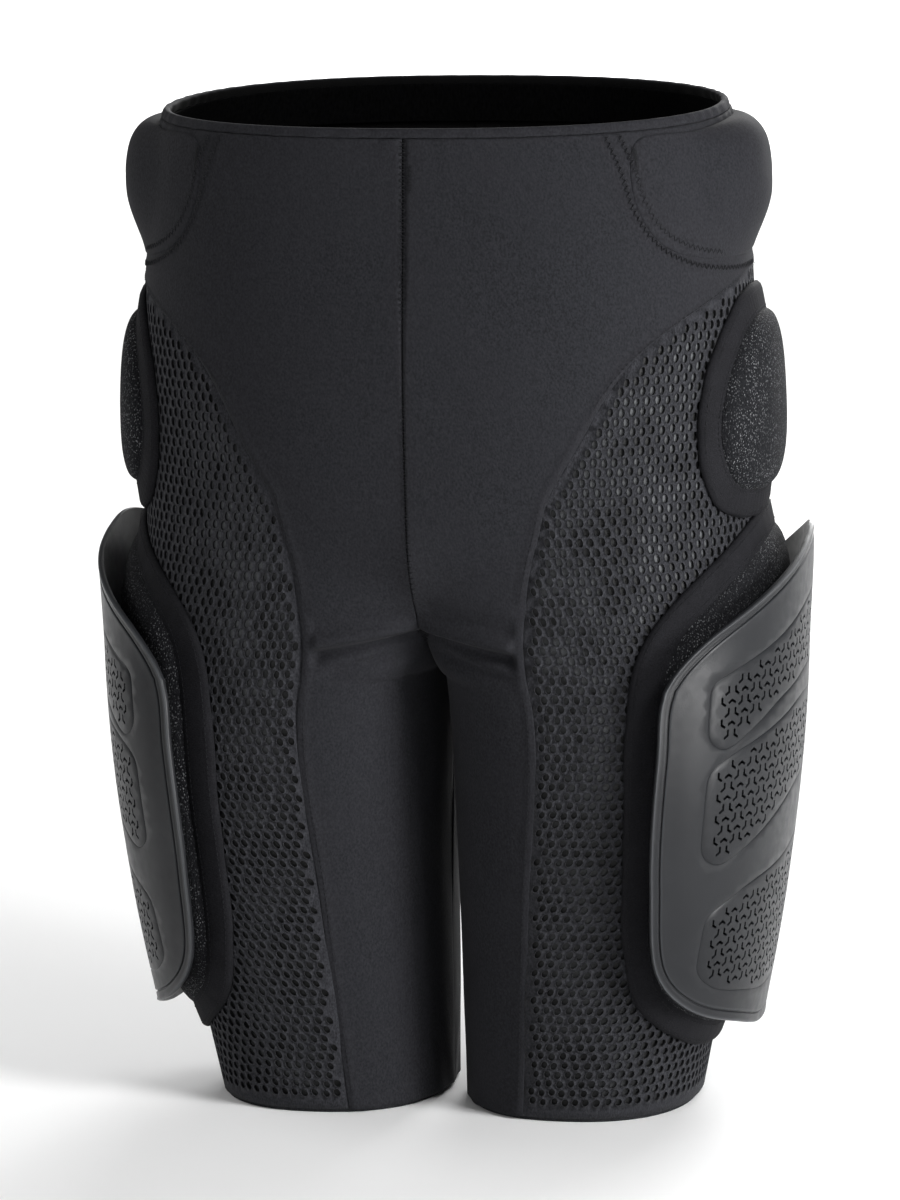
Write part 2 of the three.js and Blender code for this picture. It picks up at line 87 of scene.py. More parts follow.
SIDES = {"left": LEFT, "right": RIGHT}

# ---------- the surface of the cloth ----------


def smooth_through(places, values):
    """A smooth curve through (place, value) pairs: cubic pieces, each with the slope at its ends
    of the chord between the two neighbours."""
    places, values = np.array(places, float), np.array(values, float)
    last = len(places) - 1
    before = np.maximum(np.arange(last + 1) - 1, 0)
    after = np.minimum(np.arange(last + 1) + 1, last)
    slopes = (values[after] - values[before]) / (places[after] - places[before])

    def curve(place):
        i = np.searchsorted(places[1:-1], place)
        step = places[i + 1] - places[i]
        t = (place - places[i]) / step
        rise = values[i + 1] - values[i]
        bend = (slopes[i] + slopes[i + 1]) * step - 2 * rise
        return values[i] + t * (slopes[i] * step + t * (rise - slopes[i] * step - bend + t * bend))

    return curve


half_width = smooth_through(
    [0, 0.120, 0.240, 0.380, 0.514, 0.540], [0.131, 0.154, 0.166, 0.165, 0.159, 0.150])
front_depth = smooth_through([0, 0.120, 0.240, 0.380, 0.540], [0.066, 0.085, 0.100, 0.110, 0.098])
back_depth = smooth_through([0, 0.120, 0.240, 0.340, 0.540], [0.084, 0.100, 0.118, 0.128, 0.102])

hem_low, hem_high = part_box("left_leg_hem")
DEPTH_SHIFT = ((hem_low[1] + hem_high[1]) / 2
               - float(back_depth(HEM_BAND / 2) - front_depth(HEM_BAND / 2)) / 2)


def smoothstep(value, low, high):
    """0 below low, 1 above high, and an S-curve between them."""
    t = np.clip((value - low) / (high - low), 0, 1)
    return t * t * (3 - 2 * t)


def mixed(a, b, share):
    """The value that lies at a share of the way from a to b."""
    return a + (b - a) * share


def powered(value, power):
    """A sine or cosine to a power with its sign kept, which makes a round section squarer."""
    return np.sign(value) * np.abs(value) ** power


def rounded(value):
    """A sine or cosine for the body's squarish sections."""
    return powered(value, 2 / SECTION_POWER)


def half_body(around, height):
    """x and y of one half of the body: a leg's closed squarish oval low down, half of the torso's
    oval high up, and a blend of the two across the crotch, from the middle outwards."""
    width, front, back = half_width(height), front_depth(height), back_depth(height)
    open_share = np.clip(1 - height / CROTCH_HEIGHT, 0, 1)
    inner = SEAM_GAP + (LEG_GAP / 2 - SEAM_GAP) * np.sqrt(open_share)
    middle = (back - front) / 4

    def depth_at(turn):
        return np.where(turn > 0, middle - (front + middle) * rounded(turn),
                        middle - (back - middle) * rounded(turn))

    leg_angle = 2 * np.pi * around - np.pi / 2
    leg_x = (width + inner) / 2 + (width - inner) / 2 * rounded(np.sin(leg_angle))
    leg_y = depth_at(np.cos(leg_angle))
    same_x = np.arcsin(np.clip(leg_x / width, 0, 1) ** (SECTION_POWER / 2))
    kept = np.where(around <= 0.5, same_x, np.pi - same_x)
    evenness = smoothstep(height, CROTCH_HEIGHT, CROTCH_HEIGHT + SPREAD_ABOVE_CROTCH)
    torso_angle = mixed(kept, np.pi * around, evenness)
    torso_x = width * rounded(np.maximum(np.sin(torso_angle), 0))
    torso_y = depth_at(np.cos(torso_angle))
    rise = np.clip((height - CROTCH_HEIGHT) / BLEND_ABOVE_CROTCH, 0, 1)
    at_middle = np.sqrt(1 - (1 - rise) ** 2)
    at_side = smoothstep(height, CROTCH_HEIGHT - BLEND_BELOW_CROTCH,
                         CROTCH_HEIGHT + BLEND_ABOVE_THIGH)
    torso = mixed(at_middle, at_side, 1 - (1 - np.sin(np.pi * around)) ** 2)
    return mixed(leg_x, torso_x, torso), mixed(leg_y, torso_y, torso)


def body(around, height):
    """Points of the surface. Past the middle a leg's oval goes on round and the torso's mirrors."""
    around, height = np.broadcast_arrays(np.asarray(around, float), np.asarray(height, float))
    on_leg = height <= CROTCH_HEIGHT
    past = ~on_leg & ((around < 0) | (around > 1))
    folded = np.where(around < 0, -around, np.where(around > 1, 2 - around, around))
    x, y = half_body(np.where(on_leg, around - np.floor(around), folded), height)
    return np.stack([np.where(past, -x, x), y + DEPTH_SHIFT, height], axis=-1)


def outwards(around, height):
    """Unit normals: the cross product of a small step around and a small step up."""
    across = body(around + 0.001, height) - body(around - 0.001, height)
    up = body(around, height + 0.0005) - body(around, height - 0.0005)
    normal = np.cross(across, up)
    return normal / np.linalg.norm(normal, axis=-1, keepdims=True)


def cloth(around, height, lift=0.0):
    """Points at a lift from the surface, along its normal."""
    around, height, lift = np.broadcast_arrays(
        np.asarray(around, float), np.asarray(height, float), np.asarray(lift, float))
    return body(around, height) + outwards(around, height) * lift[..., None]


def waist_edge(around):
    """Height of the waist's edge, which dips towards the front along a cosine."""
    return WAIST_HEIGHT + WAIST_DIP * (0.5 - (1 + np.cos(np.pi * around)) / 2)


# Distances along the cloth, for patterns that keep their size: one table gives the distance
# behind the side seam at an "around", and the other goes back again.
TABLE_STEP = 0.005
TABLE_HEIGHTS = np.arange(0, WAIST_HEIGHT + TABLE_STEP, TABLE_STEP)
SIDE_COLUMN = 200  # the table's column at the side seam, half of the way round
TABLE_AROUND = np.linspace(0, 1, 2 * SIDE_COLUMN + 1)
TABLE_DISTANCE = np.linspace(-0.25, 0.25, 501)
rings = body(TABLE_AROUND[None, :], np.minimum(TABLE_HEIGHTS, WAIST_HEIGHT)[:, None])
travelled = np.cumsum(np.linalg.norm(np.diff(rings, axis=1), axis=2), axis=1)
travelled = np.pad(travelled, ((0, 0), (1, 0)))
distance_table = travelled - travelled[:, SIDE_COLUMN:SIDE_COLUMN + 1]
around_table = np.stack([np.interp(TABLE_DISTANCE, row, TABLE_AROUND) for row in distance_table])


def read_table(table, columns, height, column):
    """Straight interpolation between a table's four nearest entries."""
    row = np.clip(height / TABLE_STEP, 0, len(TABLE_HEIGHTS) - 1.001)
    place = np.clip((column - columns[0]) / (columns[1] - columns[0]), 0, len(columns) - 1.001)
    i, j = row.astype(int), place.astype(int)
    a, b = row - i, place - j
    low = table[i, j] * (1 - b) + table[i, j + 1] * b
    high = table[i + 1, j] * (1 - b) + table[i + 1, j + 1] * b
    return low * (1 - a) + high * a


def distance_at(around, height):
    """Distance behind the side seam, along the cloth."""
    return read_table(distance_table, TABLE_AROUND, np.asarray(height, float), around)


def around_at(distance, height):
    """The "around" that lies at a distance behind the side seam."""
    return read_table(around_table, TABLE_DISTANCE, np.asarray(height, float), distance)


# ---------- outlines ----------

CURVE_STEPS = 24  # between two corners of an outline


def smooth_loop(corners, count):
    """Evenly spaced points on the closed centripetal Catmull-Rom curve through the corners."""
    p1 = np.array(corners, float)
    p0, p2, p3 = np.roll(p1, 1, 0), np.roll(p1, -1, 0), np.roll(p1, -2, 0)
    gap = [np.linalg.norm(b - a, axis=1)[:, None] ** 0.5 for a, b in ((p0, p1), (p1, p2), (p2, p3))]
    start = ((p1 - p0) / gap[0] - (p2 - p0) / (gap[0] + gap[1]) + (p2 - p1) / gap[1]) * gap[1]
    end = ((p2 - p1) / gap[1] - (p3 - p1) / (gap[1] + gap[2]) + (p3 - p2) / gap[2]) * gap[1]
    t = np.linspace(0, 1, CURVE_STEPS, endpoint=False)[None, :, None]
    a, b, c, d = (x[:, None, :] for x in (p1, p2, start, end))
    curve = a + c * t + (3 * (b - a) - 2 * c - d) * t ** 2 + (2 * (a - b) + c + d) * t ** 3
    return evenly(curve.reshape(-1, 2), count)


def evenly(loop, count):
    """Points at equal distances along a closed loop of straight pieces."""
    closed = np.vstack([loop, loop[:1]])
    run = np.r_[0, np.cumsum(np.linalg.norm(np.diff(closed, axis=0), axis=1))]
    places = np.linspace(0, run[-1], count, endpoint=False)
    return np.stack([np.interp(places, run, closed[:, k]) for k in (0, 1)], axis=1)


def moved_out(loop, distance):
    """A loop moved out by a distance along the normals of its own plane."""
    tangent = np.roll(loop, -1, 0) - np.roll(loop, 1, 0)
    tangent = tangent / np.linalg.norm(tangent, axis=1, keepdims=True)
    return loop + np.stack([tangent[:, 1], -tangent[:, 0]], axis=1) * distance


def beside(line, distance):
    """A line moved sideways, to the left of the way it runs."""
    tangent = np.gradient(line, axis=0)
    tangent = tangent / np.linalg.norm(tangent, axis=1, keepdims=True)
    return line + np.stack([-tangent[:, 1], tangent[:, 0]], axis=1) * distance


def softened(loop, rounds):
    """A loop whose corners are rounded by averaging each point with its neighbours."""
    for _ in range(rounds):
        loop = (np.roll(loop, 1, 0) + 2 * loop + np.roll(loop, -1, 0)) / 4
    return loop


class Outline:
    """A pad's outline. Its flat coordinates are metres behind the seam and metres above the pad's
    lowest place, and on_cloth turns them into "around" and height."""

    def __init__(self, corners, height, lowest, seam=0.5):
        self.corners = [(behind / 1000, share * height) for behind, share in corners]
        self.lowest = lowest
        self.seam = seam

    def loop(self, count):
        return smooth_loop(self.corners, count)

    def on_cloth(self, flat):
        around = self.seam + flat[..., 0] / GIRTH
        return around, self.lowest(around) + flat[..., 1]


HIP_BONE_HEIGHT, HIP_BONE_DROP = 0.072, 0.008
HIP_BOTTOM, HIP_TOP, HIP_FOAM = 0.331, 0.434, 0.0125
THIGH_BOTTOM, THIGH_TOP = 0.041, 0.317
SHELL_BOTTOM, SHELL_TOP = 0.048, 0.312
TAILBONE_BOTTOM, TAILBONE_HEIGHT, TAILBONE_FOAM = 0.360, 0.142, 0.013

hip_bone_outline = Outline(
    [(0, 0.01), (62, 0.05), (95, 0.2), (111, 0.5), (112, 0.9), (60, 0.98), (0, 1), (-60, 0.985),
     (-112, 0.95), (-117, 0.7), (-111, 0.4), (-96, 0.19), (-70, 0.08), (-34, 0.03)],
    HIP_BONE_HEIGHT, lambda around: waist_edge(around) - HIP_BONE_DROP - HIP_BONE_HEIGHT)
hip_outline = Outline(
    [(-12, 0.0), (24, 0.05), (54, 0.19), (68, 0.40), (66, 0.65), (42, 0.92), (5, 1),
     (-30, 0.93), (-56, 0.68), (-66, 0.36), (-49, 0.08)],
    HIP_TOP - HIP_BOTTOM, lambda around: HIP_BOTTOM)
thigh_outline = Outline(
    [(0, 0), (50, 0.02), (76, 0.12), (86, 0.4), (90, 0.72), (80, 0.87), (52, 0.965), (14, 1),
     (-18, 0.975), (-52, 0.906), (-74, 0.82), (-81, 0.72), (-82, 0.5), (-79, 0.22), (-68, 0.1),
     (-38, 0.03)],
    THIGH_TOP - THIGH_BOTTOM, lambda around: THIGH_BOTTOM)
shell_outline = Outline(
    [(5, 0), (40, 0.03), (66, 0.12), (76, 0.36), (80, 0.7), (70, 0.86), (44, 0.96), (16, 1),
     (-8, 0.965), (-40, 0.896), (-67, 0.815), (-80, 0.73), (-82, 0.6), (-82, 0.35), (-76, 0.16),
     (-60, 0.085), (-29, 0.035)],
    SHELL_TOP - SHELL_BOTTOM, lambda around: SHELL_BOTTOM)
tailbone_outline = Outline(
    [(0, 0), (30, 0.1), (52, 0.42), (62, 0.75), (44, 0.96),
     (0, 1), (-44, 0.96), (-62, 0.75), (-52, 0.42), (-30, 0.1)],
    TAILBONE_HEIGHT, lambda around: TAILBONE_BOTTOM, seam=1.0)

mesh_edge_heights = [0, 0.120, 0.216] + [
    CROTCH_HEIGHT + share * (MESH_TOP - CROTCH_HEIGHT)
    for share in (0.17, 0.36, 0.5, 0.72, 0.85, 0.94, 1)]
mesh_front = smooth_through(
    mesh_edge_heights, [0.2, 0.205, 0.215, 0.195, 0.16, 0.145, 0.195, 0.265, 0.37, 0.5])
mesh_back = smooth_through(
    mesh_edge_heights, [0.8, 0.795, 0.785, 0.78, 0.77, 0.76, 0.725, 0.685, 0.63, 0.55])

# ---------- meshes ----------


def grid_faces(rows, columns, start=0, closed=False):
    """Quads between neighbours of a grid that is stored row by row. A closed grid's last column
    joins its first."""
    row, column = np.meshgrid(np.arange(rows - 1), np.arange(columns if closed else columns - 1),
                              indexing="ij")
    after = (column + 1) % columns
    a, b = row * columns + column, row * columns + after
    return (start + np.stack([a, b, b + columns, a + columns], axis=-1)).reshape(-1, 4)


def make_piece(name, points, faces, finish, side=LEFT, sharp=None):
    """A mesh object from points and lists of faces that point out on the left side. The right
    side's piece is the mirror image, with its faces turned round."""
    points = np.array(points, float).reshape(-1, 3) * [side, 1, 1]
    faces = [group[:, ::side] for group in faces]
    mesh = bpy.data.meshes.new(name)
    mesh.from_pydata(points.tolist(), [], [face for group in faces for face in group.tolist()])
    mesh.polygons.foreach_set("use_smooth", np.ones(len(mesh.polygons), bool))
    if sharp:
        mesh.set_sharp_from_angle(angle=math.radians(sharp))
    mesh.materials.append(finish)
    mesh.update()
    piece = bpy.data.objects.new(name, mesh)
    bpy.context.collection.objects.link(piece)
    return piece


def add_shade(piece, name, values):
    """Stores one number per point, for the finish to read."""
    layer = piece.data.attributes.new(name, "FLOAT", "POINT")
    layer.data.foreach_set("value", np.asarray(values, np.float32).ravel())


def two_sided(top, bottom):
    """A closed sheet between two grids of points: the grids, and walls along the four edges."""
    rows, columns = top.shape[:2]
    size = rows * columns
    index = np.arange(size).reshape(rows, columns)
    faces = [grid_faces(rows, columns), grid_faces(rows, columns, size)[:, ::-1]]
    rim = np.concatenate([index[0, :-1], index[:-1, -1], index[-1, :0:-1], index[:0:-1, 0]])
    after = np.roll(rim, -1)
    faces.append(np.stack([rim, rim + size, after + size, after], axis=-1))
    return np.concatenate([top.reshape(-1, 3), bottom.reshape(-1, 3)]), faces


def tube(loops):
    """A profile carried round a closed path: loops is an array of path places by profile points."""
    places, corners = loops.shape[:2]
    row, k = np.meshgrid(np.arange(places), np.arange(corners), indexing="ij")
    ahead, after = (row + 1) % places, (k + 1) % corners
    faces = np.stack([row * corners + k, ahead * corners + k,
                      ahead * corners + after, row * corners + after], axis=-1)
    return loops.reshape(-1, 3), [faces.reshape(-1, 4)]


EVERY_TRIANGLE = 0  # output type of the triangulation: all triangles inside the hull
SAME_PLACE = 1e-7


def tiled(boundary, holes, lines, points):
    """Triangles over a flat region inside a boundary loop and outside the hole loops, with edges
    along the lines and corners at all the points (a Delaunay triangulation)."""
    groups = [boundary, *holes, *lines, points]
    starts = np.cumsum([0] + [len(group) for group in groups])
    everything = np.concatenate(groups)
    loops = [list(range(starts[i], starts[i + 1])) for i in range(1 + len(holes))]
    edges = [(a, a + 1 if a + 1 < starts[i + 1] else starts[i])
             for i in range(1 + len(holes), len(groups) - 1)
             for a in range(starts[i], starts[i + 1])]
    found = delaunay_2d_cdt([Vector(p) for p in everything], edges, loops,
                            EVERY_TRIANGLE, SAME_PLACE)
    kept = [face for face, inside in zip(found[2], found[5]) if inside == [0]]
    return np.array([tuple(p) for p in found[0]]), np.array(kept)


def hole_walls(near, far, loops):
    """Quads between two sets of loops with the same number of corners each."""
    near, far = near.reshape(loops, -1), far.reshape(loops, -1)
    return np.stack([np.roll(near, -1, 1), near, far, np.roll(far, -1, 1)],
                    axis=-1).reshape(-1, 4)


def both_sides(name, points, faces, finish, shade_name, shades, sharp=None):
    """The left and the right piece made from the same points, by "left" and "right"."""
    made = {}
    for word, side in SIDES.items():
        made[word] = make_piece(f"{word}_{name}", points, faces, finish, side, sharp)
        add_shade(made[word], shade_name, shades)
    return made


def inside_loop(points, loop):
    """Whether each point lies inside a loop: it does if a ray from it crosses the loop an odd
    number of times."""
    a, b = loop[None], np.roll(loop, -1, 0)[None]
    x, y = points[:, None, 0], points[:, None, 1]
    crosses = (a[..., 1] > y) != (b[..., 1] > y)
    rise = np.where(b[..., 1] == a[..., 1], 1e-12, b[..., 1] - a[..., 1])
    reach = a[..., 0] + (y - a[..., 1]) * (b[..., 0] - a[..., 0]) / rise
    return (crosses & (x < reach)).sum(axis=1) % 2 == 1


def nearest(points, loop):
    """Distance from each point to the nearest point of a finely divided loop."""
    return np.sqrt(((points[:, None] - loop[None]) ** 2).sum(axis=2).min(axis=1))


# ---------- finishes ----------


class Finish:
    """A procedural material on object coordinates."""

    def __init__(self, name, roughness, sheen=0.0, specular=0.5, sheen_roughness=0.5):
        self.material = bpy.data.materials.new(name)
        self.material.use_nodes = True
        self.nodes = self.material.node_tree.nodes
        self.links = self.material.node_tree.links
        self.shader = self.nodes["Principled BSDF"]
        self.shader.inputs["Roughness"].default_value = roughness
        self.shader.inputs["Sheen Weight"].default_value = sheen
        self.shader.inputs["Sheen Roughness"].default_value = sheen_roughness
        self.shader.inputs["Specular IOR Level"].default_value = specular
        self.place = self.nodes.new("ShaderNodeTexCoord").outputs["Object"]
        self.surface = None

    def stretched(self, x, y, z):
        """Object coordinates with each axis scaled."""
        mapping = self.nodes.new("ShaderNodeMapping")
        mapping.inputs["Scale"].default_value = (x, y, z)
        self.links.new(self.place, mapping.inputs["Vector"])
        return mapping.outputs["Vector"]

    def noise(self, size, detail=2.0, place=None):
        """Cloudy noise whose blotches are about the given size, in metres."""
        node = self.nodes.new("ShaderNodeTexNoise")
        node.inputs["Scale"].default_value = 1 / size
        node.inputs["Detail"].default_value = detail
        self.links.new(place or self.place, node.inputs["Vector"])
        return node.outputs["Fac"]

    def cells(self, size, place=None, output="Distance"):
        """Distance to the nearest of scattered points that lie about a size apart."""
        node = self.nodes.new("ShaderNodeTexVoronoi")
        node.inputs["Scale"].default_value = 1 / size
        self.links.new(place or self.place, node.inputs["Vector"])
        return node.outputs[output]

    def attribute(self, name):
        node = self.nodes.new("ShaderNodeAttribute")
        node.attribute_name = name
        return node.outputs["Fac"]

    def ramp(self, source, low, high, first=0.0, last=1.0):
        """The source from low to high, spread evenly over first to last."""
        node = self.nodes.new("ShaderNodeMapRange")
        self.links.new(source, node.inputs["Value"])
        names = ("From Min", "From Max", "To Min", "To Max")
        for name, value in zip(names, (low, high, first, last)):
            node.inputs[name].default_value = value
        return node.outputs["Result"]

    def math(self, operation, a, b):
        node = self.nodes.new("ShaderNodeMath")
        node.operation = operation
        for socket, value in zip(node.inputs, (a, b)):
            if isinstance(value, (int, float)):
                socket.default_value = value
            else:
                self.links.new(value, socket)
        return node.outputs["Value"]

    def colours(self, share, low, high):
        """A colour between low and high, each a linear colour or another colour's output."""
        node = self.nodes.new("ShaderNodeMix")
        node.data_type = "RGBA"
        self.links.new(share, node.inputs["Factor"])
        for socket, value in zip((node.inputs[6], node.inputs[7]), (low, high)):
            if isinstance(value, tuple):
                socket.default_value = (*value, 1)
            else:
                self.links.new(value, socket)
        return node.outputs[2]

    def colour(self, output):
        self.links.new(output, self.shader.inputs["Base Color"])

    def roughness(self, output):
        self.links.new(output, self.shader.inputs["Roughness"])

    def relief(self, source, height, strength=1.0):
        """Adds a fine relief of the given height, in metres, to the surface."""
        node = self.nodes.new("ShaderNodeBump")
        node.inputs["Distance"].default_value = height
        node.inputs["Strength"].default_value = strength
        self.links.new(source, node.inputs["Height"])
        if self.surface:
            self.links.new(self.surface, node.inputs["Normal"])
        self.surface = node.outputs["Normal"]
        self.links.new(self.surface, self.shader.inputs["Normal"])


def jersey_finish():
    """Matte stretch jersey: fine heathered yarn, slightly paler where it is stretched."""
    finish = Finish("stretch jersey", roughness=0.85, sheen=0.02, specular=0.10)
    yarn = finish.noise(0.0011, 3.0, finish.stretched(1, 1, 0.75))
    broad = finish.noise(0.045, 2.0)
    heather = finish.ramp(yarn, 0.32, 0.70)
    outside = finish.colours(heather, (0.0088, 0.0089, 0.0106), (0.0205, 0.0208, 0.0243))
    broad_patches = finish.ramp(broad, 0.3, 0.7, 0.0, 0.35)
    outside = finish.colours(broad_patches, outside, (0.0160, 0.0163, 0.0190))
    # Painted shade: where the "inside" number is 1 the jersey's own black is made near-black, for
    # faces inside the shorts.
    finish.colour(finish.colours(finish.attribute("inside"), outside, (0.002, 0.002, 0.0022)))
    finish.relief(yarn, 0.00022, 0.8)
    finish.relief(broad, 0.0012, 0.35)
    return finish.material


def mesh_finish():
    """Perforated knit: fuzzy matte yarn with fine streaks."""
    finish = Finish("perforated knit", roughness=0.9, sheen=0.03, specular=0.10)
    fuzz = finish.noise(0.0008, 4.0, finish.stretched(1, 1, 0.6))
    streak = finish.noise(0.006, 2.0, finish.stretched(2.2, 2.2, 0.7))
    tone = finish.math("MULTIPLY", finish.ramp(fuzz, 0.30, 0.72),
                       finish.ramp(streak, 0.3, 0.7, 0.6, 1.0))
    yarn = finish.colours(tone, (0.0108, 0.0111, 0.0131), (0.0375, 0.0382, 0.0440))
    # Painted shade: the "inside" number darkens the hole walls and the inner face towards
    # near-black.
    finish.colour(finish.colours(finish.attribute("inside"), yarn, (0.003, 0.003, 0.0033)))
    finish.relief(fuzz, 0.00035, 0.9)
    return finish.material


def lining_finish():
    """Fine shiny knit that shows through the holes, with painted shade in random dark patches and
    where its "shown" number is low.
    """
    finish = Finish("fine lining knit", roughness=0.55, sheen=0.0, specular=0.25)
    loops = finish.noise(0.0009, 2.0)
    # Painted shade: these random patches turn much of the lining near-black, as if in shadow.
    patches = finish.noise(0.022, 3.0)
    tone = finish.math("MULTIPLY", finish.ramp(loops, 0.25, 0.75, 0.6, 1.0),
                       finish.ramp(patches, 0.40, 0.60, 0.06, 1.0))
    # Painted shade: the "shown" number darkens the lining further.
    tone = finish.math("MULTIPLY", tone, finish.attribute("shown"))
    finish.colour(finish.colours(tone, (0.0015, 0.0015, 0.0017), (0.088, 0.092, 0.098)))
    finish.relief(loops, 0.0002)
    return finish.material


def ribbed_finish(finish, noise, dark, pale, depth):
    """Tape or thread in one tone: fine noise that mixes two colours and stands up as ribs."""
    finish.colour(finish.colours(finish.ramp(noise, 0.3, 0.7), dark, pale))
    finish.relief(noise, depth)
    return finish.material


def facing_finish():
    """Dull facing tape inside the waist, with fine upright ribs."""
    finish = Finish("waist facing", roughness=0.95, specular=0.02)
    ribs = finish.noise(0.0010, 2.0, finish.stretched(1, 1, 0.3))
    # Painted shade: the facing's own black is made near-black, darker than the outer jersey, as the
    # inside of the waist lies in shade.
    return ribbed_finish(finish, ribs, (0.0010, 0.0010, 0.0011), (0.0030, 0.0030, 0.0033), 0.0002)


def spacer_finish():
    """Spacer mesh over foam: dark knit with painted glints, short bright strokes in its colour, in
    broad patches where its loops would catch light.
    """
    finish = Finish("spacer mesh", roughness=0.85, sheen=0.0, specular=0.08)
    slanted = finish.stretched(1, 1, 0.55)
    loops = finish.cells(0.00085, slanted)
    glints = finish.ramp(loops, 0.40, 0.20)
    scattered = finish.ramp(finish.noise(0.0012, 2.0), 0.42, 0.60)
    broad_patches = finish.ramp(finish.noise(0.030, 2.0), 0.40, 0.66, 0.30, 1.0)
    # Painted glints: bright base colour in scattered strokes, gathered in broad patches.
    shine = finish.math("MULTIPLY", finish.math("MULTIPLY", glints, scattered), broad_patches)
    ground = finish.colours(finish.ramp(finish.noise(0.0009, 3.0), 0.3, 0.7),
                            (0.0042, 0.0044, 0.0052), (0.0110, 0.0113, 0.0130))
    finish.colour(finish.colours(shine, ground, (0.22, 0.225, 0.235)))
    finish.roughness(finish.ramp(shine, 0, 1, 0.85, 0.45))
    finish.relief(loops, 0.0005, 0.9)
    return finish.material


def binding_finish():
    """Matte woven tape: close ribs across it, and paler specks of wear."""
    finish = Finish("woven binding", roughness=0.85, sheen=0.0, specular=0.10)
    weave = finish.noise(0.0009, 2.0, finish.stretched(1, 1, 1.6))
    wear = finish.noise(0.012, 3.0)
    tone = finish.math("MULTIPLY", finish.ramp(weave, 0.3, 0.7),
                       finish.ramp(wear, 0.3, 0.7, 0.6, 1.0))
    finish.colour(finish.colours(tone, (0.0045, 0.0045, 0.0054), (0.0150, 0.0150, 0.0176)))
    finish.relief(weave, 0.00025)
    return finish.material


def thread_finish():
    """Twisted sewing thread, a little shinier than the cloth."""
    finish = Finish("sewing thread", roughness=0.7, sheen=0.0, specular=0.12)
    twist = finish.noise(0.0005, 2.0)
    return ribbed_finish(finish, twist, (0.0045, 0.0046, 0.0054), (0.0160, 0.0164, 0.0190), 0.0001)


def gripper_finish():
    """Elastic hem tape with fine ribs and a rubbery ground."""
    finish = Finish("elastic hem tape", roughness=0.8, sheen=0.0, specular=0.1)
    ribs = finish.noise(0.0010, 3.0, finish.stretched(1, 1, 0.35))
    return ribbed_finish(finish, ribs, (0.010, 0.0105, 0.0118), (0.0240, 0.0250, 0.0275), 0.0003)


def shell_finish():
    """Moulded plastic: satin skin, faint flow marks, and a painted highlight that makes the rim's
    bead and a line by its groove paler.
    """
    finish = Finish("moulded shell", roughness=0.34, specular=0.18)
    skin = finish.noise(0.0007, 2.0)
    flow = finish.noise(0.05, 3.0)
    base = finish.colours(finish.ramp(flow, 0.3, 0.7),
                          (0.0095, 0.0101, 0.0116), (0.0140, 0.0148, 0.0166))
    # Painted highlight: paler colour along the rim where the attribute is set.
    finish.colour(finish.colours(finish.attribute("painted_rim_highlight"), base, (0.065, 0.068, 0.073)))
    scuffs = finish.noise(0.006, 6.0)
    finish.roughness(finish.ramp(scuffs, 0.3, 0.75, 0.33, 0.44))
    finish.relief(skin, 0.00006, 0.5)
    return finish.material


JERSEY = jersey_finish()
MESH = mesh_finish()
LINING_KNIT = lining_finish()
FACING_TAPE = facing_finish()
SPACER = spacer_finish()
TAPE = binding_finish()
THREAD = thread_finish()
GRIPPER = gripper_finish()
PLASTIC = shell_finish()

# ---------- folds in the cloth ----------

# Each fold: its two ends as "around" and height, its half width, and its depth
# into the body.
CROTCH_FOLDS = [
    ((0.040, 0.2640), (0.245, 0.2512), 0.0042, 0.0075),
    ((0.075, 0.2560), (0.205, 0.2440), 0.0040, 0.0036),
    ((0.080, 0.2750), (0.220, 0.2690), 0.0060, 0.0018),
    ((0.800, 0.2500), (0.955, 0.2680), 0.0060, 0.0045),
    ((0.860, 0.3000), (0.960, 0.2840), 0.0090, 0.0020),
]
HEM_RIPPLES = 0.0005
WAIST_RIPPLES = 0.0005
SWELLS = 0.0005


def fold_depth(around, height):
    """Lift of the folded cloth: a valley with a soft bank above it along each fold line, easing
    out before the seams, small upright ripples at the waist and the hem, and broad low swells."""
    distance = distance_at(np.clip(around, 0, 1), height)
    total = np.zeros(np.broadcast(distance, height).shape)
    clear = (smoothstep(mesh_front(height) - around, 0.001, 0.012)
             + smoothstep(around - mesh_back(height), 0.001, 0.012))
    for (a0, z0), (a1, z1), width, depth in CROTCH_FOLDS:
        d0, d1 = float(distance_at(np.array(a0), z0)), float(distance_at(np.array(a1), z1))
        along = np.array([d1 - d0, z1 - z0])
        length = np.linalg.norm(along)
        along = along / length
        run = (distance - d0) * along[0] + (height - z0) * along[1]
        off = -(distance - d0) * along[1] + (height - z0) * along[0]
        fade = smoothstep(run, -0.02, 0.01) * (1 - smoothstep(run, length - 0.02, length + 0.004))
        valley = np.exp(-(off / width) ** 2)
        bank = np.exp(-((off - 1.7 * width) / (1.3 * width)) ** 2)
        total = total + fade * clear * depth * (0.55 * bank - valley)
    below_waist = waist_edge(np.clip(around, 0, 1)) - height
    ripple = np.sin(distance * 2 * np.pi / 0.013 + 2.1 * np.sin(distance * 41))
    total = total + WAIST_RIPPLES * ripple * np.exp(-below_waist / 0.012)
    hem_ripple = np.sin(distance * 2 * np.pi / 0.024 + 1.7 * np.sin(distance * 23))
    total = total + HEM_RIPPLES * hem_ripple * np.exp(-height / 0.018)
    swell = np.sin(distance * 37 + height * 19) * np.sin(height * 31 - distance * 11 + 1.0)
    return total + SWELLS * swell


# ---------- jersey panels ----------

PANEL_COLUMNS = 64
PANEL_ROWS = 250
UPPER_ROWS = 50
SEAM_OVERLAP = 0.0022  # jersey lies this far over the edge of the perforated panel
SEAM_RIDGE = 0.0004
SEAM_SINK = 0.0003  # of the free edge itself
THIN_EDGE = 0.0040  # width of the strip where the panel is one thin layer over the mesh


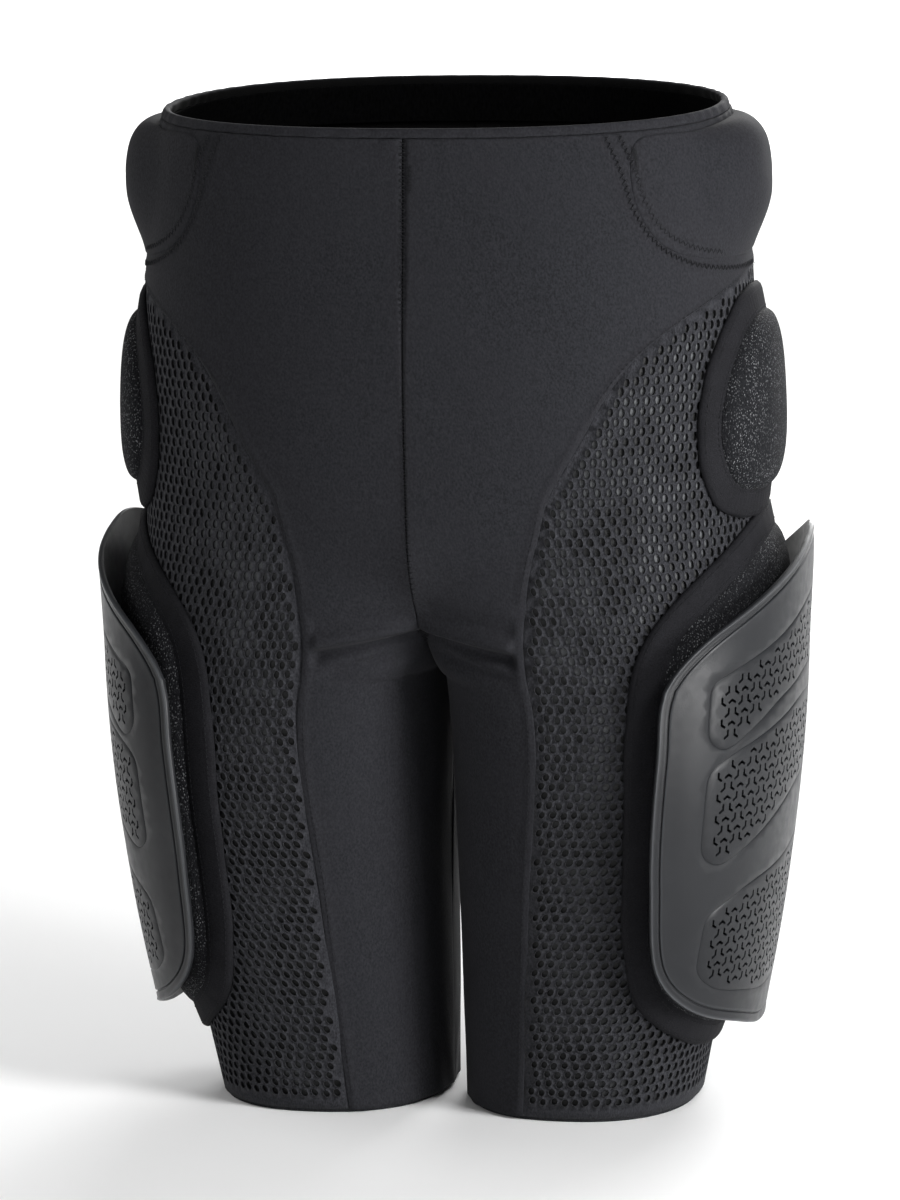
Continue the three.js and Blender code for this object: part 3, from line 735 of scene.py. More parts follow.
def panel_places(start, end):
    """A grid of places between two edges: even rows up to the perforated panel's top and then
    rows that follow the waist, and columns that crowd towards both edges."""
    t = np.linspace(0, 1, PANEL_COLUMNS)
    t = mixed(t, (1 - np.cos(np.pi * t)) / 2, 0.55)
    low = np.linspace(HEM_SHOWN, MESH_TOP, PANEL_ROWS)
    share = np.linspace(0, 1, UPPER_ROWS)[1:]
    around_low = mixed(start(low)[:, None], end(low)[:, None], t[None])
    height_low = np.repeat(low[:, None], PANEL_COLUMNS, axis=1)
    top_ends = np.full(len(share), MESH_TOP)
    around_high = mixed(start(top_ends)[:, None], end(top_ends)[:, None], t[None])
    top = waist_edge(around_high) - WAIST_EDGE - SEAM_GAP
    height_high = mixed(MESH_TOP, top, share[:, None])
    return np.vstack([around_low, around_high]), np.vstack([height_low, height_high])


def jersey_panel(name, start, end, free_edge, side):
    """A jersey panel: outer and inner layer, folded at the crotch, with a low ridge along the
    free edge, where its seam allowance lies under it."""
    around, height = panel_places(start, end)
    lift = fold_depth(around, height)
    to_edge = np.abs(distance_at(np.clip(around, 0, 1), height)
                     - distance_at(free_edge(height), height))
    on_mesh = height < MESH_TOP + 0.004
    ridge = SEAM_RIDGE * np.exp(-((to_edge - 0.0035) / 0.0022) ** 2)
    sink = SEAM_SINK * np.exp(-(to_edge / 0.0012) ** 2)
    lift = lift + np.where(on_mesh, ridge - sink + 0.0005, 0.0002)
    top = cloth(around, height, lift)
    thickness = np.where(on_mesh & (to_edge < THIN_EDGE), 0.0004, CLOTH)
    bottom = cloth(around, height, lift - thickness)
    for layer in (top, bottom):
        layer[..., 0] = np.maximum(layer[..., 0], SEAM_GAP / 4)
    points, faces = two_sided(top, bottom)
    piece = make_piece(name, points, faces, JERSEY, side)
    # Painted shade: the inner layer is coloured near-black.
    add_shade(piece, "inside", np.repeat([0.0, 1.0], around.size))
    return piece


def widened(edge, distance):
    """The same edge moved a distance round the body."""
    return lambda height: edge(height) + distance / GIRTH


def front_end(height):
    """Free edge of the front panel: the perforated panel's edge, then the side seam."""
    beside_mesh = mesh_front(np.minimum(height, MESH_TOP))
    return np.minimum(np.where(height < MESH_TOP, beside_mesh, SIDE_SEAM), SIDE_SEAM)


def back_start(height):
    """Free edge of the back panel, in the same way."""
    beside_mesh = mesh_back(np.minimum(height, MESH_TOP))
    return np.maximum(np.where(height < MESH_TOP, beside_mesh, SIDE_SEAM), SIDE_SEAM)


def front_panel(side, name):
    free_edge = widened(front_end, SEAM_OVERLAP)
    return jersey_panel(name, lambda height: np.full(np.shape(height), SEAM_GAP / 2 / GIRTH),
                        free_edge, free_edge, side)


def back_panel(side, name):
    free_edge = widened(back_start, -SEAM_OVERLAP)
    return jersey_panel(name, free_edge,
                        lambda height: np.full(np.shape(height), 1 - SEAM_GAP / 2 / GIRTH),
                        free_edge, side)


# ---------- perforated side panels and their lining ----------

HOLE_PITCH = 0.0058  # between holes in a row
HOLE_ROWS = 0.0052  # between rows, which are offset by half a pitch
HOLE_CORNERS = 10
HOLE_RIM = 1.12  # where the yarn starts to round over, against the hole
FIRST_ROW = 0.004  # above the panel's lower edge
EDGE_WITHOUT_HOLES = 0.0048
EDGE_WITHOUT_POINTS = 0.0016
UNDER_TAPE = 0.0015  # holes go on this far under a pad's tape


def mesh_region():
    """Boundary of the perforated panel on the flat: up its front edge and down its back edge."""
    heights = np.linspace(HEM_SHOWN, MESH_TOP - SEAM_GAP, 110)
    front = np.stack([distance_at(mesh_front(heights), heights), heights], axis=1)
    back = np.stack([distance_at(mesh_back(heights), heights), heights], axis=1)[::-1]
    across = np.linspace(0, 1, 40)[1:-1, None]
    bottom = mixed(back[-1], front[0], across)
    top = mixed(front[-1], back[0], np.linspace(0, 1, 8)[1:-1, None])
    return np.concatenate([front, top, back, bottom])[::-1]


def hidden_by(outline, points, margin):
    """Whether flat points lie under a pad, inside its outline or close to it."""
    loop = moved_out(outline.loop(140), margin)
    on_cloth = outline.on_cloth(loop)
    local = np.stack([distance_at(on_cloth[0], on_cloth[1]), on_cloth[1]], axis=1)
    return inside_loop(points, local)


def perforated_panel():
    """The perforated panel laid flat: its points and triangles, its boundary, and the middle and
    the oval of every hole. Holes are upright ovals in offset rows, rounder down the leg, where the
    cloth is stretched sideways."""
    boundary = mesh_region()
    low, high = boundary.min(axis=0), boundary.max(axis=0)
    rows = int((high[1] - low[1]) / HOLE_ROWS) + 1
    columns = int((high[0] - low[0]) / HOLE_PITCH) + 2
    row, column = np.meshgrid(np.arange(rows), np.arange(columns), indexing="ij")
    height = low[1] + FIRST_ROW + row * HOLE_ROWS
    lean = 0.0035 * np.sin(height * 14) + 0.0022 * np.sin(height * 33 + 1)
    distance = low[0] + (column + 0.5 * (row % 2)) * HOLE_PITCH + lean
    sites = np.stack([distance, height], axis=-1).reshape(-1, 2)
    sway = 0.00035 * np.stack([np.sin(sites[:, 1] * 517 + sites[:, 0] * 211),
                               np.sin(sites[:, 0] * 463 + sites[:, 1] * 307)], axis=1)
    sites = sites + sway
    edge = evenly(boundary, 900)
    clear = inside_loop(sites, boundary) & (nearest(sites, edge) > EDGE_WITHOUT_HOLES)
    under = (hidden_by(hip_outline, sites, BINDING_WIDTH - UNDER_TAPE)
             | hidden_by(thigh_outline, sites, BINDING_WIDTH - UNDER_TAPE))
    centres = sites[clear & ~under]
    spare = sites[clear & under]
    edge_sites = sites[inside_loop(sites, boundary) & ~clear]
    edge_sites = edge_sites[nearest(edge_sites, edge) > EDGE_WITHOUT_POINTS]
    roundness = 1 - smoothstep(centres[:, 1], 0.16, 0.33)
    uneven = 1 + 0.06 * np.sin(centres[:, 0] * 731 + centres[:, 1] * 397)
    half_wide = mixed(0.00142, 0.00170, roundness) * uneven
    half_tall = mixed(0.00220, 0.00192, roundness) * uneven
    angle = np.linspace(0, 2 * np.pi, HOLE_CORNERS, endpoint=False)
    tilt = 0.35 * np.sin(centres[:, 1] * 21 + centres[:, 0] * 9)
    oval = np.stack([np.cos(angle)[None] * half_wide[:, None],
                     np.sin(angle)[None] * half_tall[:, None]], axis=-1)
    oval = np.stack([oval[..., 0] + oval[..., 1] * tilt[:, None] * 0.5, oval[..., 1]], axis=-1)
    holes = centres[:, None] + oval * HOLE_RIM
    flat, corners = tiled(boundary, list(holes), [], np.concatenate([spare, edge_sites]))
    return flat, corners, boundary, centres, oval


def place_flat(flat, lift):
    """Flat points of the side panel put on the body at a lift."""
    around = around_at(flat[..., 0], flat[..., 1])
    return cloth(around, flat[..., 1], lift)


MESH_RISE = 0.0001


def side_mesh_panels():
    """Both perforated panels: face, rounded hole walls, and the inner face."""
    flat, corners, boundary, centres, oval = perforated_panel()
    loops = len(centres)
    start = len(boundary)
    rim = np.arange(start, start + loops * HOLE_CORNERS)
    top = place_flat(flat, MESH_RISE)
    bottom = place_flat(flat, MESH_RISE - MESH_CLOTH)
    walls = [place_flat((centres[:, None] + oval * size).reshape(-1, 2), lift)
             for size, lift in ((1.07, MESH_RISE - 0.00018), (1.0, MESH_RISE - 0.00055))]
    points = np.concatenate([top, bottom, *walls])
    count = len(flat)
    wall_starts = [2 * count, 2 * count + len(rim)]
    steps = [rim, *(first + np.arange(len(rim)) for first in wall_starts), rim + count]
    faces = [corners, (corners + count)[:, ::-1]]
    faces += [hole_walls(near, far, loops) for near, far in zip(steps, steps[1:])]
    ring = np.arange(start)
    after = np.roll(ring, -1)
    faces.append(np.stack([ring, ring + count, after + count, after], axis=-1))
    # Painted shade: inner face near-black, hole walls darkened a quarter near the face and nine
    # tenths deeper in.
    inside = np.repeat([0.0, 1.0, 0.25, 0.9], [count, count, len(rim), len(rim)])
    return both_sides("perforated_panel", points, faces, MESH, "inside", inside)


def side_lining(side, name):
    """The lining under a perforated panel: a closed sheet. Its "shown" number is painted shade: it
    is low beside the pads, along the panel's edges and low down the leg, where the cloth lies in
    shade."""
    heights = np.linspace(HEM_SHOWN, MESH_TOP - SEAM_GAP, 100)[:, None]
    share = np.linspace(0, 1, 60)[None]
    around = mixed(mesh_front(heights), mesh_back(heights), share)
    height = np.repeat(heights, 60, axis=1)
    top = MESH_RISE - MESH_CLOTH - 0.0002
    points, faces = two_sided(cloth(around, height, top), cloth(around, height, top - LINING))
    piece = make_piece(name, points, faces, LINING_KNIT, side)
    flat = np.stack([distance_at(around, height), height], axis=-1).reshape(-1, 2)
    shade = np.minimum.reduce([
        smoothstep(nearest(flat, mesh_region()), 0.004, 0.016),
        1 - hidden_by(hip_outline, flat, BINDING_WIDTH + 0.005) * 0.9,
        1 - hidden_by(thigh_outline, flat, BINDING_WIDTH + 0.007) * 0.9,
    ])
    # Painted shade: darker low down the leg, 0.42 of full below 0.16 m.
    low_leg = mixed(0.42, 1.0, smoothstep(flat[:, 1], 0.16, 0.28))
    add_shade(piece, "shown", np.tile(shade * low_leg, 2))
    return piece


# ---------- hems and waist ----------

HEM_STEPS = 220
HEM_SQUARENESS = 0.35
WAIST_STEPS = 360


def leg_hem(side, name):
    """A leg's hem tape: a rounded band section carried round the leg, flat on the floor."""
    around = np.linspace(0, 1, HEM_STEPS, endpoint=False)[:, None]
    turn = np.linspace(0, 2 * np.pi, 28, endpoint=False)
    half_thick, half_tall = HEM_THICKNESS / 2, (HEM_BAND + 0.0004) / 2
    lift = -CLOTH - half_thick + half_thick * powered(np.cos(turn), HEM_SQUARENESS)
    height = half_tall + half_tall * powered(np.sin(turn), HEM_SQUARENESS)
    lift, height = np.broadcast_arrays(lift[None], height[None] + 0 * around)
    lift = lift + fold_depth(np.repeat(around, len(turn), 1), height) * smoothstep(height, 0, 0.004)
    points = cloth(np.repeat(around, len(turn), 1), np.full(height.shape, HEM_BAND / 2), lift)
    points[..., 2] = height
    points, faces = tube(points)
    return make_piece(name, points, faces, GRIPPER, side)


def waist_ring(name, outer, inner, top_drop, bottom_drop, squareness, finish, ripple=0.0):
    """A band round the waist with a rounded section, between two lifts and between two drops
    below the waist edge."""
    around = np.linspace(0, 2, WAIST_STEPS, endpoint=False)[:, None]
    turn = np.linspace(0, 2 * np.pi, 20, endpoint=False)[None]
    lift = (outer + inner) / 2 + (outer - inner) / 2 * powered(np.cos(turn), squareness)
    half_tall = (bottom_drop - top_drop) / 2
    drop = (top_drop + bottom_drop) / 2 - half_tall * powered(np.sin(turn), squareness)
    around, lift, drop = np.broadcast_arrays(around, lift, drop)
    wave = ripple * np.sin(around * 2 * np.pi * 31 + 2 * np.sin(around * 2 * np.pi * 5))
    points, faces = tube(cloth(around, waist_edge(around) - drop, lift + wave))
    piece = make_piece(name, points, faces, finish)
    # Painted shade: the ring's inner side is near-black where its finish reads "inside".
    add_shade(piece, "inside", smoothstep(-lift, 0.0022, 0.0032).ravel())
    return piece


# ---------- pads ----------

PAD_RIM = 0.0032  # thickness of a pad at its edge, under the binding
PAD_INSET = 0.0042
PAD_CORNERS = 130
CROWN_SUNK = 0.0012  # room for the cloth to swell
DOME_POWER = 3.2
PRESSURE_FRAMES = 20


def dome(foam):
    """Thickness of a foam pad in its cover: a flat crown that rounds over towards the edge, by
    the root of one minus the share of the outline to a power."""
    full = foam + COVER + LAYER_GAP - CROWN_SUNK

    def thickness(flat, share):
        crown = np.sqrt(np.clip(1 - share ** DOME_POWER, 0, 1))
        return PAD_LIFT + PAD_RIM + (full - PAD_RIM) * crown

    return thickness


def hip_bone_mound(flat, share):
    """Thickness of the hip bone pocket: an oval mound near its upper edge, over the foam, that
    eases out into the flat pocket."""
    oval = np.hypot(flat[:, 0] / 0.072, (flat[:, 1] - 0.045) / 0.050)
    edge = np.sqrt(np.clip(1 - share ** 8, 0, 1))
    return 0.0008 + 0.0135 * (1 - smoothstep(oval, 0.20, 1.05)) * edge


def pad_form(outline, thickness, floor, inset, ring_count):
    """A crowned closed form: rings drawn in from the outline, lifted by the thickness, and the
    same rings again for a flat underside. Also gives which points lie on the rim or under it."""
    shares = np.linspace(0, 1, ring_count + 1) ** 0.75
    loop = moved_out(outline.loop(PAD_CORNERS), -inset)
    centre = (loop.min(axis=0) + loop.max(axis=0)) / 2
    rings = centre + (loop - centre)[None] * shares[1:, None, None]
    flat = np.concatenate([centre[None], rings.reshape(-1, 2)])
    share = np.concatenate([[0.0], np.repeat(shares[1:], PAD_CORNERS)])
    around, height = outline.on_cloth(flat)
    top, bottom = cloth(around, height, thickness(flat, share)), cloth(around, height, floor)
    size = len(flat)
    k = np.arange(PAD_CORNERS)
    after = (k + 1) % PAD_CORNERS
    cap = np.stack([np.zeros(PAD_CORNERS, int), 1 + k, 1 + after], axis=-1)
    quads = grid_faces(ring_count, PAD_CORNERS, 1, closed=True)
    edge, edge_after = size - PAD_CORNERS + k, size - PAD_CORNERS + after
    wall = np.stack([edge, edge + size, edge_after + size, edge_after], axis=-1)
    faces = [cap, quads[:, ::-1], (cap + size)[:, ::-1], quads + size, wall]
    held = np.r_[share > 0.97, np.ones(size, bool)]
    return np.concatenate([top, bottom]), faces, held


def swollen(piece, held, cap):
    """The cloth of a pad under pressure, held at its rim and underside: it is simulated without
    gravity, moved only as far as the cap allows, and then rounded off."""
    start = coordinates(piece.data)
    group = piece.vertex_groups.new(name="held")
    group.add(np.flatnonzero(held).tolist(), 1.0, "REPLACE")
    cover = piece.modifiers.new("cover", "CLOTH")
    cover.settings.vertex_group_mass = "held"
    cover.settings.use_pressure = True
    cover.settings.uniform_pressure_force = 4.0
    cover.settings.quality = 5
    cover.settings.mass = 0.2
    cover.settings.tension_stiffness = 25
    cover.settings.compression_stiffness = 25
    cover.settings.shear_stiffness = 12
    cover.settings.bending_stiffness = 0.6
    cover.settings.effector_weights.gravity = 0
    cover.collision_settings.use_collision = False
    for step in range(1, PRESSURE_FRAMES + 1):
        bpy.context.scene.frame_set(step)
    bake(piece)
    bpy.context.scene.frame_set(1)
    piece.vertex_groups.clear()
    moved = coordinates(piece.data) - start
    distance = np.linalg.norm(moved, axis=1, keepdims=True)
    moved = moved * np.minimum(1, cap / np.maximum(distance, 1e-9))
    piece.data.vertices.foreach_set("co", (start + moved).ravel())
    finer = piece.modifiers.new("finer", "SUBSURF")
    finer.levels = finer.render_levels = 1
    piece.data.update()


def bake(piece):
    """Replaces a piece's mesh by the one its modifiers make, and removes them."""
    ready = piece.evaluated_get(bpy.context.evaluated_depsgraph_get())
    mesh = bpy.data.meshes.new_from_object(ready)
    old = piece.data
    name = old.name
    piece.modifiers.clear()
    piece.data = mesh
    bpy.data.meshes.remove(old)
    mesh.name = name


def coordinates(mesh):
    values = np.empty(len(mesh.vertices) * 3)
    mesh.vertices.foreach_get("co", values)
    return values.reshape(-1, 3)


def foam_pad(name, outline, foam, side, cap=0.0025):
    """A foam pad in its spacer mesh cover."""
    points, faces, held = pad_form(outline, dome(foam), PAD_LIFT, PAD_INSET, 14)
    piece = make_piece(name, points, faces, SPACER, side)
    swollen(piece, held, cap)
    return piece


def hip_bone_pad(name, side):
    """The hip bone pad in its jersey pocket."""
    points, faces, held = pad_form(hip_bone_outline, hip_bone_mound, -0.0006, 0.0, 18)
    piece = make_piece(name, points, faces, JERSEY, side)
    swollen(piece, held, 0.0022)
    return piece


# Section of the binding tape: distance outside the pad's outline, and lift above the cloth.
BINDING_SECTION = np.array([
    (-0.0074, 0.0030), (-0.0076, 0.0054), (-0.0062, 0.0059), (-0.0034, 0.0056), (-0.0004, 0.0051),
    (0.0026, 0.0046), (0.0054, 0.0041), (0.0074, 0.0033), (0.0086, 0.0020), (0.0089, 0.0008),
    (0.0085, 0.0002), (0.0050, 0.0001), (0.0000, 0.0003),
])


def binding(name, outline, side, steps=240, widen=1.0):
    """Tape sewn round a pad: its section carried round the outline, a little uneven in width."""
    loop = outline.loop(steps)
    turn = np.linspace(0, 2 * np.pi, steps, endpoint=False)
    uneven = 1 + 0.035 * np.sin(turn * 7 + 1) + 0.02 * np.sin(turn * 17)
    outward = moved_out(loop, 1.0) - loop
    reach = BINDING_SECTION[None, :, :1] * widen * uneven[:, None, None]
    flat = loop[:, None] + outward[:, None] * reach
    around, height = outline.on_cloth(flat)
    pucker = 0.00018 * np.sin(turn * steps / 2.6)[:, None]
    lift = BINDING_SECTION[None, :, 1] + pucker * (BINDING_SECTION[None, :, 1] > 0.0025)
    points, faces = tube(cloth(around, height, lift))
    return make_piece(name, points, [face[:, ::-1] for face in faces], TAPE, side)


# ---------- stitches ----------

FLATTENED = 0.7  # a thread's height against its width


def thread_template(length, radius):
    """A small capsule along x: four rings of five corners that follow half an ellipse."""
    share = np.array([-0.98, -0.6, 0.6, 0.98])
    size = radius * np.sqrt(1 - share ** 2) + radius * 0.12
    turn = np.linspace(0, 2 * np.pi, 5, endpoint=False)
    ring = np.stack([np.zeros(5), np.cos(turn), np.sin(turn)], axis=1)
    points = ring[None] * size[:, None, None]
    points[..., 0] = share[:, None] * length / 2
    faces = grid_faces(4, 5, 0, closed=True)
    ends = np.array([[0, 1, 2, 3, 4], [19, 18, 17, 16, 15]])
    return points.reshape(-1, 3), faces, ends


def stitches(name, around, height, lift, side, length, radius, angle=0.0):
    """Short threads at places on the cloth, each lying along the row turned by an angle."""
    centre = cloth(around, height, lift)
    normal = outwards(around, height)
    along = np.gradient(centre, axis=0)
    along = along - normal * (along * normal).sum(axis=1, keepdims=True)
    along = along / np.linalg.norm(along, axis=1, keepdims=True)
    across = np.cross(normal, along)
    angle = np.broadcast_to(angle, (len(centre),))[:, None]
    direction = along * np.cos(angle) + across * np.sin(angle)
    sideways = np.cross(normal, direction)
    shape, quads, ends = thread_template(length, radius)
    points = (centre[:, None] + shape[None, :, :1] * direction[:, None]
              + shape[None, :, 1:2] * sideways[:, None]
              + shape[None, :, 2:] * normal[:, None] * FLATTENED)
    shift = (np.arange(len(centre)) * len(shape))[:, None, None]
    faces = [(quads[None] + shift).reshape(-1, 4), (ends[None] + shift).reshape(-1, 5)]
    return make_piece(name, points, [face[:, ::-1] for face in faces], THREAD, side)


def zigzag(count, first, second):
    """Angles of threads that slant one way and the other in turn."""
    return np.where(np.arange(count) % 2 == 0, first, second)


def along_line(around, height, spacing):
    """Evenly spaced places along a line on the cloth, measured on the body."""
    points = body(around, height)
    run = np.r_[0, np.cumsum(np.linalg.norm(np.diff(points, axis=0), axis=1))]
    places = np.arange(spacing / 2, run[-1], spacing)
    return np.interp(places, run, around), np.interp(places, run, height)


def around_outline(outline, distance, spacing, count=400):
    """Evenly spaced places round an outline, at a distance outside it."""
    loop = moved_out(outline.loop(count), distance)
    around, height = outline.on_cloth(np.vstack([loop, loop[:1]]))
    return along_line(around, height, spacing)


# ---------- thigh shells ----------

# Ventilated fields of the shell, as metres behind the side seam and height, from the lowest
# corner round by the back.
VENT_FIELDS = [
    [(-0.055, 0.207), (-0.025, 0.229), (0.000, 0.238), (0.034, 0.246), (0.048, 0.256),
     (0.048, 0.280), (0.022, 0.283), (-0.004, 0.273), (-0.025, 0.262), (-0.049, 0.250),
     (-0.062, 0.243), (-0.063, 0.214)],
    [(-0.054, 0.147), (-0.008, 0.176), (0.022, 0.187), (0.050, 0.194), (0.056, 0.205),
     (0.056, 0.226), (0.030, 0.226), (-0.004, 0.225), (-0.025, 0.217), (-0.049, 0.207),
     (-0.062, 0.199), (-0.063, 0.154)],
    [(-0.049, 0.080), (-0.010, 0.070), (0.030, 0.076), (0.048, 0.098), (0.052, 0.130),
     (0.050, 0.160), (0.024, 0.155), (-0.004, 0.142), (-0.036, 0.135), (-0.058, 0.122),
     (-0.060, 0.090)],
]
SLOT_PITCH = 0.0110
SLOT_RING = 0.0028  # from a cluster's centre to the points of its three slots
SLOT_ARM = 0.0030
SLOT_WIDTH = 0.0014
SLOT_TIP = 0.0002  # how far the middle of a slot's end stands out
SLOT_CLEAR = 0.0043  # between a slot's middle and its field's outline
GROOVE = 0.00045
GROOVE_STEPS = (0.0006, 0.0, -0.0006)  # lines along a groove: two edges and its floor between
FIELD_CORNERS = 150
SHELL_CORNERS = 300
LATTICE = 0.0042  # spacing of the points inside the face

shell_seat = PAD_LIFT + LAYER_GAP + THIGH_FOAM + COVER + SHELL_LIFT
wide = cloth(np.array([0.36, 0.64]), 0.16, shell_seat)
SHELL_STRETCH = np.linalg.norm(wide[1] - wide[0]) / (0.28 * GIRTH) * 1.05

# Section of the shell's edge: distance in from the outline, and height above the face.
SHELL_EDGE = np.array([
    (0.0000, -0.0026), (-0.0002, -0.0012), (0.0001, -0.0002), (0.0006, 0.0004), (0.0012, 0.0004),
    (0.0018, 0.0001), (0.0030, 0.0000), (0.0042, 0.0000), (0.0047, -0.0002), (0.0051, -0.0009),
    (0.0056, -0.0009), (0.0060, -0.0001), (0.0066, 0.0001), (0.0074, 0.0000),
])


def chevron():
    """A bent slot round the origin that opens along +x, as a closed loop of eight corners."""
    half = SLOT_WIDTH / 2
    arms = [np.array([np.cos(a), np.sin(a)]) for a in (np.pi / 3, -np.pi / 3)]
    sides = [np.array([-arm[1], arm[0]]) * half for arm in arms]
    upper, lower = arms[0] * SLOT_ARM, arms[1] * SLOT_ARM
    tip = np.array([half * 1.15, 0.0])
    return np.array([
        -tip, lower - sides[1] - arms[1] * SLOT_TIP, lower + arms[1] * SLOT_TIP,
        lower + sides[1] - arms[1] * SLOT_TIP, tip,
        upper - sides[0] - arms[0] * SLOT_TIP, upper + arms[0] * SLOT_TIP,
        upper + sides[0] - arms[0] * SLOT_TIP])


def vent_slots(field):
    """Loops of all slots in a field: three bent slots round each point of a triangular lattice."""
    low, high = field.min(axis=0), field.max(axis=0)
    column, row = np.meshgrid(np.arange(-1, 20), np.arange(-2, 14), indexing="ij")
    x = column * SLOT_PITCH * math.sqrt(0.75)
    y = (row - 0.5 * (column % 2)) * SLOT_PITCH
    lattice = np.stack([x / SHELL_STRETCH + low[0] + 0.004, y + low[1]], axis=-1).reshape(-1, 2)
    shape = chevron()
    loops = []
    for angle in (-np.pi / 2, np.pi / 6, 5 * np.pi / 6):
        turn = np.array([[np.cos(angle), -np.sin(angle)], [np.sin(angle), np.cos(angle)]])
        loop = (shape + [SLOT_RING, 0]) @ turn.T / [SHELL_STRETCH, 1]
        loops.append(lattice[:, None] + loop[None])
    loops = np.concatenate(loops)
    middle = loops.mean(axis=1)
    fits = inside_loop(middle, field) & (nearest(middle, field) > SLOT_CLEAR)
    return loops[fits]


def shell_lift(flat):
    """Lift of the shell's face: its seat on the pad, a flare towards its top, and a low broad
    crown down its middle."""
    height = SHELL_BOTTOM + flat[..., 1]
    flare_from = SHELL_TOP - (SHELL_TOP - SHELL_BOTTOM) / 4
    crown = 0.0012 * np.cos(np.clip(flat[..., 0] / 0.085, -1, 1) * np.pi / 2)
    return shell_seat + SHELL + SHELL_FLARE * smoothstep(height, flare_from, SHELL_TOP) + crown


def place_shell(flat, height):
    around, up = shell_outline.on_cloth(flat)
    return cloth(around, up, shell_lift(flat) + height)


def thigh_shells():
    """Both shells: a moulded edge carried round the outline, a face with engraved fields and
    slots cut through it, the slots' walls, and the inner face."""
    count = SHELL_CORNERS
    loop = shell_outline.loop(count)
    inwards = loop - moved_out(loop, 1.0)
    squeeze = np.array([1 / SHELL_STRETCH, 1])
    edge = loop[:, None] + inwards[:, None] * SHELL_EDGE[None, :, :1] * squeeze
    edge_points = place_shell(edge[:, :-1], SHELL_EDGE[None, :-1, 1])
    boundary = edge[:, -1]
    fields = []
    for corners in VENT_FIELDS:
        raw = np.array(corners) - [0, SHELL_BOTTOM]
        fields.append(softened(evenly(raw, FIELD_CORNERS), 9))
    slots = np.concatenate([vent_slots(field) for field in fields])
    lines = [moved_out(field, step) for field in fields for step in GROOVE_STEPS]
    across, up = np.meshgrid(np.arange(-0.1, 0.1, LATTICE), np.arange(0, 0.28, LATTICE))
    across = across + 0.5 * LATTICE * (np.arange(len(across))[:, None] % 2)
    lattice = np.stack([across, up], axis=-1).reshape(-1, 2)
    lattice = lattice[inside_loop(lattice, boundary) & (nearest(lattice, boundary) > 0.0022)]
    lattice = lattice[nearest(lattice, np.concatenate(lines)) > 0.0014]
    lattice = lattice[nearest(lattice, slots.reshape(-1, 2)) > 0.0011]
    flat, corners = tiled(boundary, list(slots), lines, lattice)
    count_flat = len(flat)
    number = len(slots)
    corner_count = slots.shape[1]
    groove_start = count + number * corner_count
    height = np.zeros(count_flat)
    for i in range(len(fields)):
        floor = groove_start + (i * len(GROOVE_STEPS) + 1) * FIELD_CORNERS
        height[floor:floor + FIELD_CORNERS] = -GROOVE
    top = place_shell(flat, height)
    bottom = place_shell(flat, -SHELL)
    middle = slots.mean(axis=1, keepdims=True)
    eased = place_shell((middle + (slots - middle) * 0.93).reshape(-1, 2), -0.0003)
    slot_rim = np.arange(count, groove_start)
    points = np.concatenate([top, bottom, eased, edge_points.reshape(-1, 3)])
    faces = [corners, (corners + count_flat)[:, ::-1]]
    eased_index = 2 * count_flat + np.arange(number * corner_count)
    faces.append(hole_walls(slot_rim, eased_index, number))
    faces.append(hole_walls(eased_index, slot_rim + count_flat, number))
    edge_start = 2 * count_flat + number * corner_count
    width = len(SHELL_EDGE) - 1
    ring = np.arange(count)
    grid = np.column_stack([edge_start + np.arange(count * width).reshape(count, width), ring])
    grid = np.concatenate([grid, grid[:1]])
    faces.append(np.stack([grid[:-1, :-1], grid[1:, :-1], grid[1:, 1:], grid[:-1, 1:]],
                          axis=-1).reshape(-1, 4))
    after = np.roll(ring, -1)
    first = grid[:-1, 0]
    faces.append(np.stack([ring + count_flat, after + count_flat, grid[1:, 0], first], axis=-1))
    painted_rim_highlight = np.zeros(len(points))
    # Painted highlight on the bead at the outer edge and on a line just inside the groove.
    painted_rim_highlight[edge_start:].reshape(count, width)[:, 2:5] = [0.35, 0.7, 0.35]
    painted_rim_highlight[edge_start:].reshape(count, width)[:, 11:13] = 0.22
    return both_sides("moulded_shell", points, faces, PLASTIC, "painted_rim_highlight", painted_rim_highlight, sharp=38)


# ---------- assembly ----------


def keep(piece, slot, *nodes):
    """Hangs a piece on the root body and hides the nodes it stands for. The slot, naming its
    finish, is not used.
    """
    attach(piece, "root")
    if nodes:
        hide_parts(*nodes)
    return piece


# The pocket's seam, as metres behind the side seam and height: down from the waist, round the
# front of the pad and back under it.
seam_corner_heights = np.array([0.545, 0.528, 0.510, 0.492, 0.477, 0.468, 0.464, 0.463])
seam_corner_arounds = np.array([0.226, 0.234, 0.248, 0.262, 0.292, 0.345, 0.420, 0.520])
seam_corners = np.arange(len(seam_corner_heights))
seam_place = np.linspace(0, seam_corners[-1], 200)
pocket_seam = np.stack([
    (smooth_through(seam_corners, seam_corner_arounds)(seam_place) - 0.5) * GIRTH,
    smooth_through(seam_corners, seam_corner_heights)(seam_place)], axis=1)

mesh_panels = side_mesh_panels()
shells = thigh_shells()

